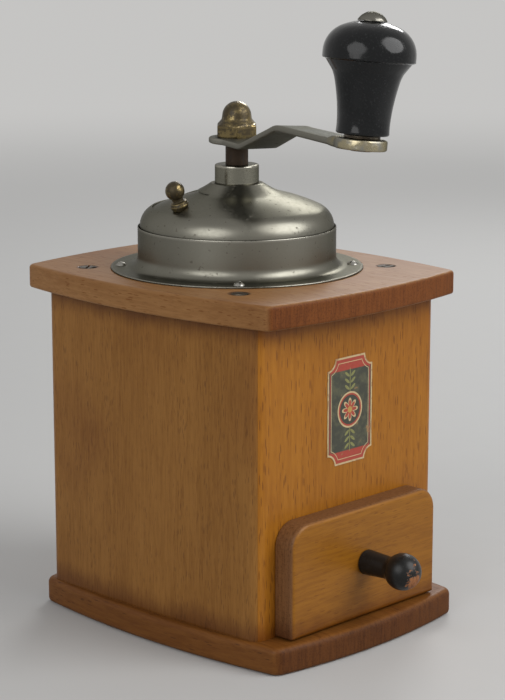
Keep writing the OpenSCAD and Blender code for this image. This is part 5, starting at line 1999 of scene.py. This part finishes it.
    def _camera(self) -> None:
        """Places the camera at the photograph's angle."""
        data = bpy.data.cameras.new("camera")
        data.lens = self.lens
        data.sensor_width = 36.0
        data.clip_end = 50.0
        camera = bpy.data.objects.new("camera", data)
        camera.location = self.camera_at
        camera.rotation_euler = (math.radians(90 - self.elevation), 0.0, math.radians(self.azimuth))
        bpy.context.scene.collection.objects.link(camera)
        bpy.context.scene.camera = camera


def make_woods() -> dict[str, bpy.types.Material]:
    """The woods of the box and the drawer, by name."""
    fleck, worn = (0.15, 0.049, 0.007), (0.17, 0.056, 0.010)
    # The front, side and drawer face woods are darkened with painted shade near the boards that they meet.
    woods = {
        "front": Beech("front_beech", Axis.Z, (0.36, 0.140, 0.012), (0.275, 0.098, 0.007), fleck, (0.20, 0.08, 0.02), worn,
                       flecks=0.8, dash=(0.62, 5.5, 0.17), lines=0.45, shaded_ends=(11.1, 137.5), shift=0.1),
        "side": Beech("side_beech", Axis.Z, (0.285, 0.128, 0.027), (0.22, 0.092, 0.016), (0.13, 0.052, 0.012),
                      (0.18, 0.08, 0.03), worn, flecks=0.7, dash=(0.45, 3.5, 0.14), lines=0.7, shaded_ends=(11.1, 137.5),
                      shift=0.5),
        "top": Beech("top_beech", Axis.Y, (0.29, 0.143, 0.050), (0.225, 0.100, 0.030), fleck, (0.17, 0.052, 0.009),
                     (0.22, 0.078, 0.016), flecks=0.7, dash=(0.6, 4.0, 0.12), lines=0.5, screw=(44.0, 44.0), shift=0.9,
                     gloss=0.5, coat=0.04),
        "base": Beech("base_beech", Axis.Y, (0.19, 0.072, 0.013), (0.135, 0.046, 0.007), (0.06, 0.020, 0.005),
                      (0.105, 0.034, 0.006), (0.20, 0.078, 0.016), flecks=0.7, dash=(0.6, 5.0, 0.1), lines=0.6,
                      shift=1.4, gloss=0.5, coat=0.04),
        "face": Beech("drawer_face_beech", Axis.X, (0.285, 0.114, 0.010), (0.215, 0.080, 0.007), fleck,
                      (0.185, 0.082, 0.030), (0.18, 0.070, 0.018), flecks=0.7, dash=(0.5, 4.0, 0.08), lines=0.5,
                      shaded_ends=(11.6, 90.0), shift=2.2, gloss=0.36, face=Axis.Y),
        "tray": Beech("tray_beech", Axis.Y, (0.46, 0.27, 0.11), (0.37, 0.20, 0.075), fleck, (0.28, 0.15, 0.06),
                      (0.34, 0.20, 0.09), flecks=0.4, lines=0.4, shift=3.0, gloss=0.55, coat=0.0),
    }
    return {name: finish.build() for name, finish in woods.items()}


def make_finishes() -> dict[str, bpy.types.Material]:
    """The metals and paints, by name."""
    finishes = {
        "sheet": Sheet("satin_sheet", (0.215, 0.208, 0.175), (0.145, 0.136, 0.104), gloss=0.33, lines=0.18, dents=0.03,
                       bright=(0.36, 0.345, 0.30)),
        "turned": Sheet("turned_steel", (0.22, 0.212, 0.172), (0.14, 0.128, 0.092), gloss=0.24, lines=0.35, dents=0.0,
                        bright=(0.46, 0.44, 0.38)),
        "crank": Sheet("plated_crank", (0.155, 0.156, 0.142), (0.115, 0.108, 0.075), film=0.6, gloss=0.42, lines=0.0,
                       dents=0.08, bright=(0.42, 0.40, 0.34), golden=(-61.3, -121.1, 214.0, 13.0)),
        "pin": Sheet("hammered_pin", (0.15, 0.145, 0.125), (0.07, 0.065, 0.048), film=0.7, gloss=0.28, lines=0.0, dents=0.2,
                     bright=(0.26, 0.25, 0.22)),
        "bright": Sheet("bright_screw", (0.38, 0.37, 0.34), (0.20, 0.18, 0.14), gloss=0.24, lines=0.0, dents=0.05),
        "spring": Sheet("spring_wire", (0.42, 0.41, 0.38), (0.25, 0.2, 0.15), gloss=0.3, lines=0.0, dents=0.0),
        "bridge": Sheet("bridge_bar", (0.35, 0.34, 0.31), (0.20, 0.16, 0.11), film=0.7, gloss=0.4, lines=0.0, dents=0.05),
        "brass": Patina("aged_brass", (0.21, 0.160, 0.075), (0.055, 0.042, 0.022), (0.022, 0.018, 0.012), cover=0.66,
                        gloss=0.26, dull=0.55, pits=0.04, scale=260),
        "nut": Patina("nut_brass", (0.22, 0.168, 0.078), (0.062, 0.047, 0.024), (0.025, 0.019, 0.012), cover=0.6,
                      gloss=0.22, dull=0.5, pits=0.05, scale=200),
        "bearing": Patina("bearing_brass", (0.60, 0.42, 0.16), (0.28, 0.18, 0.07), (0.10, 0.06, 0.03), cover=0.3,
                          gloss=0.25, dull=0.5, pits=0.02, scale=180),
        "rust": Patina("rusty_steel", (0.10, 0.080, 0.060), (0.045, 0.029, 0.018), (0.02, 0.014, 0.010), cover=0.85,
                       gloss=0.4, dull=0.75, pits=0.08, scale=240),
        "dark": Patina("dark_screw", (0.16, 0.14, 0.11), (0.06, 0.045, 0.032), (0.02, 0.016, 0.013), cover=0.7,
                       gloss=0.35, dull=0.7, pits=0.06, scale=350),
        "iron": Patina("cast_iron", (0.24, 0.23, 0.22), (0.11, 0.10, 0.09), (0.07, 0.045, 0.03), cover=0.6,
                       gloss=0.42, dull=0.7, pits=0.12, scale=120),
        "burr": Patina("burr_iron", (0.34, 0.33, 0.32), (0.14, 0.12, 0.10), (0.08, 0.05, 0.03), cover=0.4,
                       gloss=0.32, dull=0.6, pits=0.06, scale=160),
        "lacquer": Lacquer("grip_lacquer", (0.004, 0.0045, 0.005), (0.12, 0.06, 0.03), gloss=0.15, ripple=0.22, chips=0.04),
        "paint": Lacquer("knob_paint", (0.007, 0.007, 0.0065), (0.30, 0.12, 0.045), gloss=0.34, ripple=0.04, chips=0.2,
                         bare=(-1.0, -99.0, 31.2, 3.4)),
    }
    return {name: finish.build() for name, finish in finishes.items()}


def main() -> None:
    """Builds the grinder's pieces in order and lights them."""
    logging.basicConfig(level=logging.INFO, format="%(name)s: %(message)s")
    woods, finishes = make_woods(), make_finishes()
    Studio().build()
    Case().dress(woods, finishes["dark"])
    Cover().dress(finishes)
    CrankSet().dress(finishes)
    Mill().dress(finishes)
    Drawer().dress(woods, finishes)
    LOG.info("sizes noted")


if __name__ == "__main__":
    main()
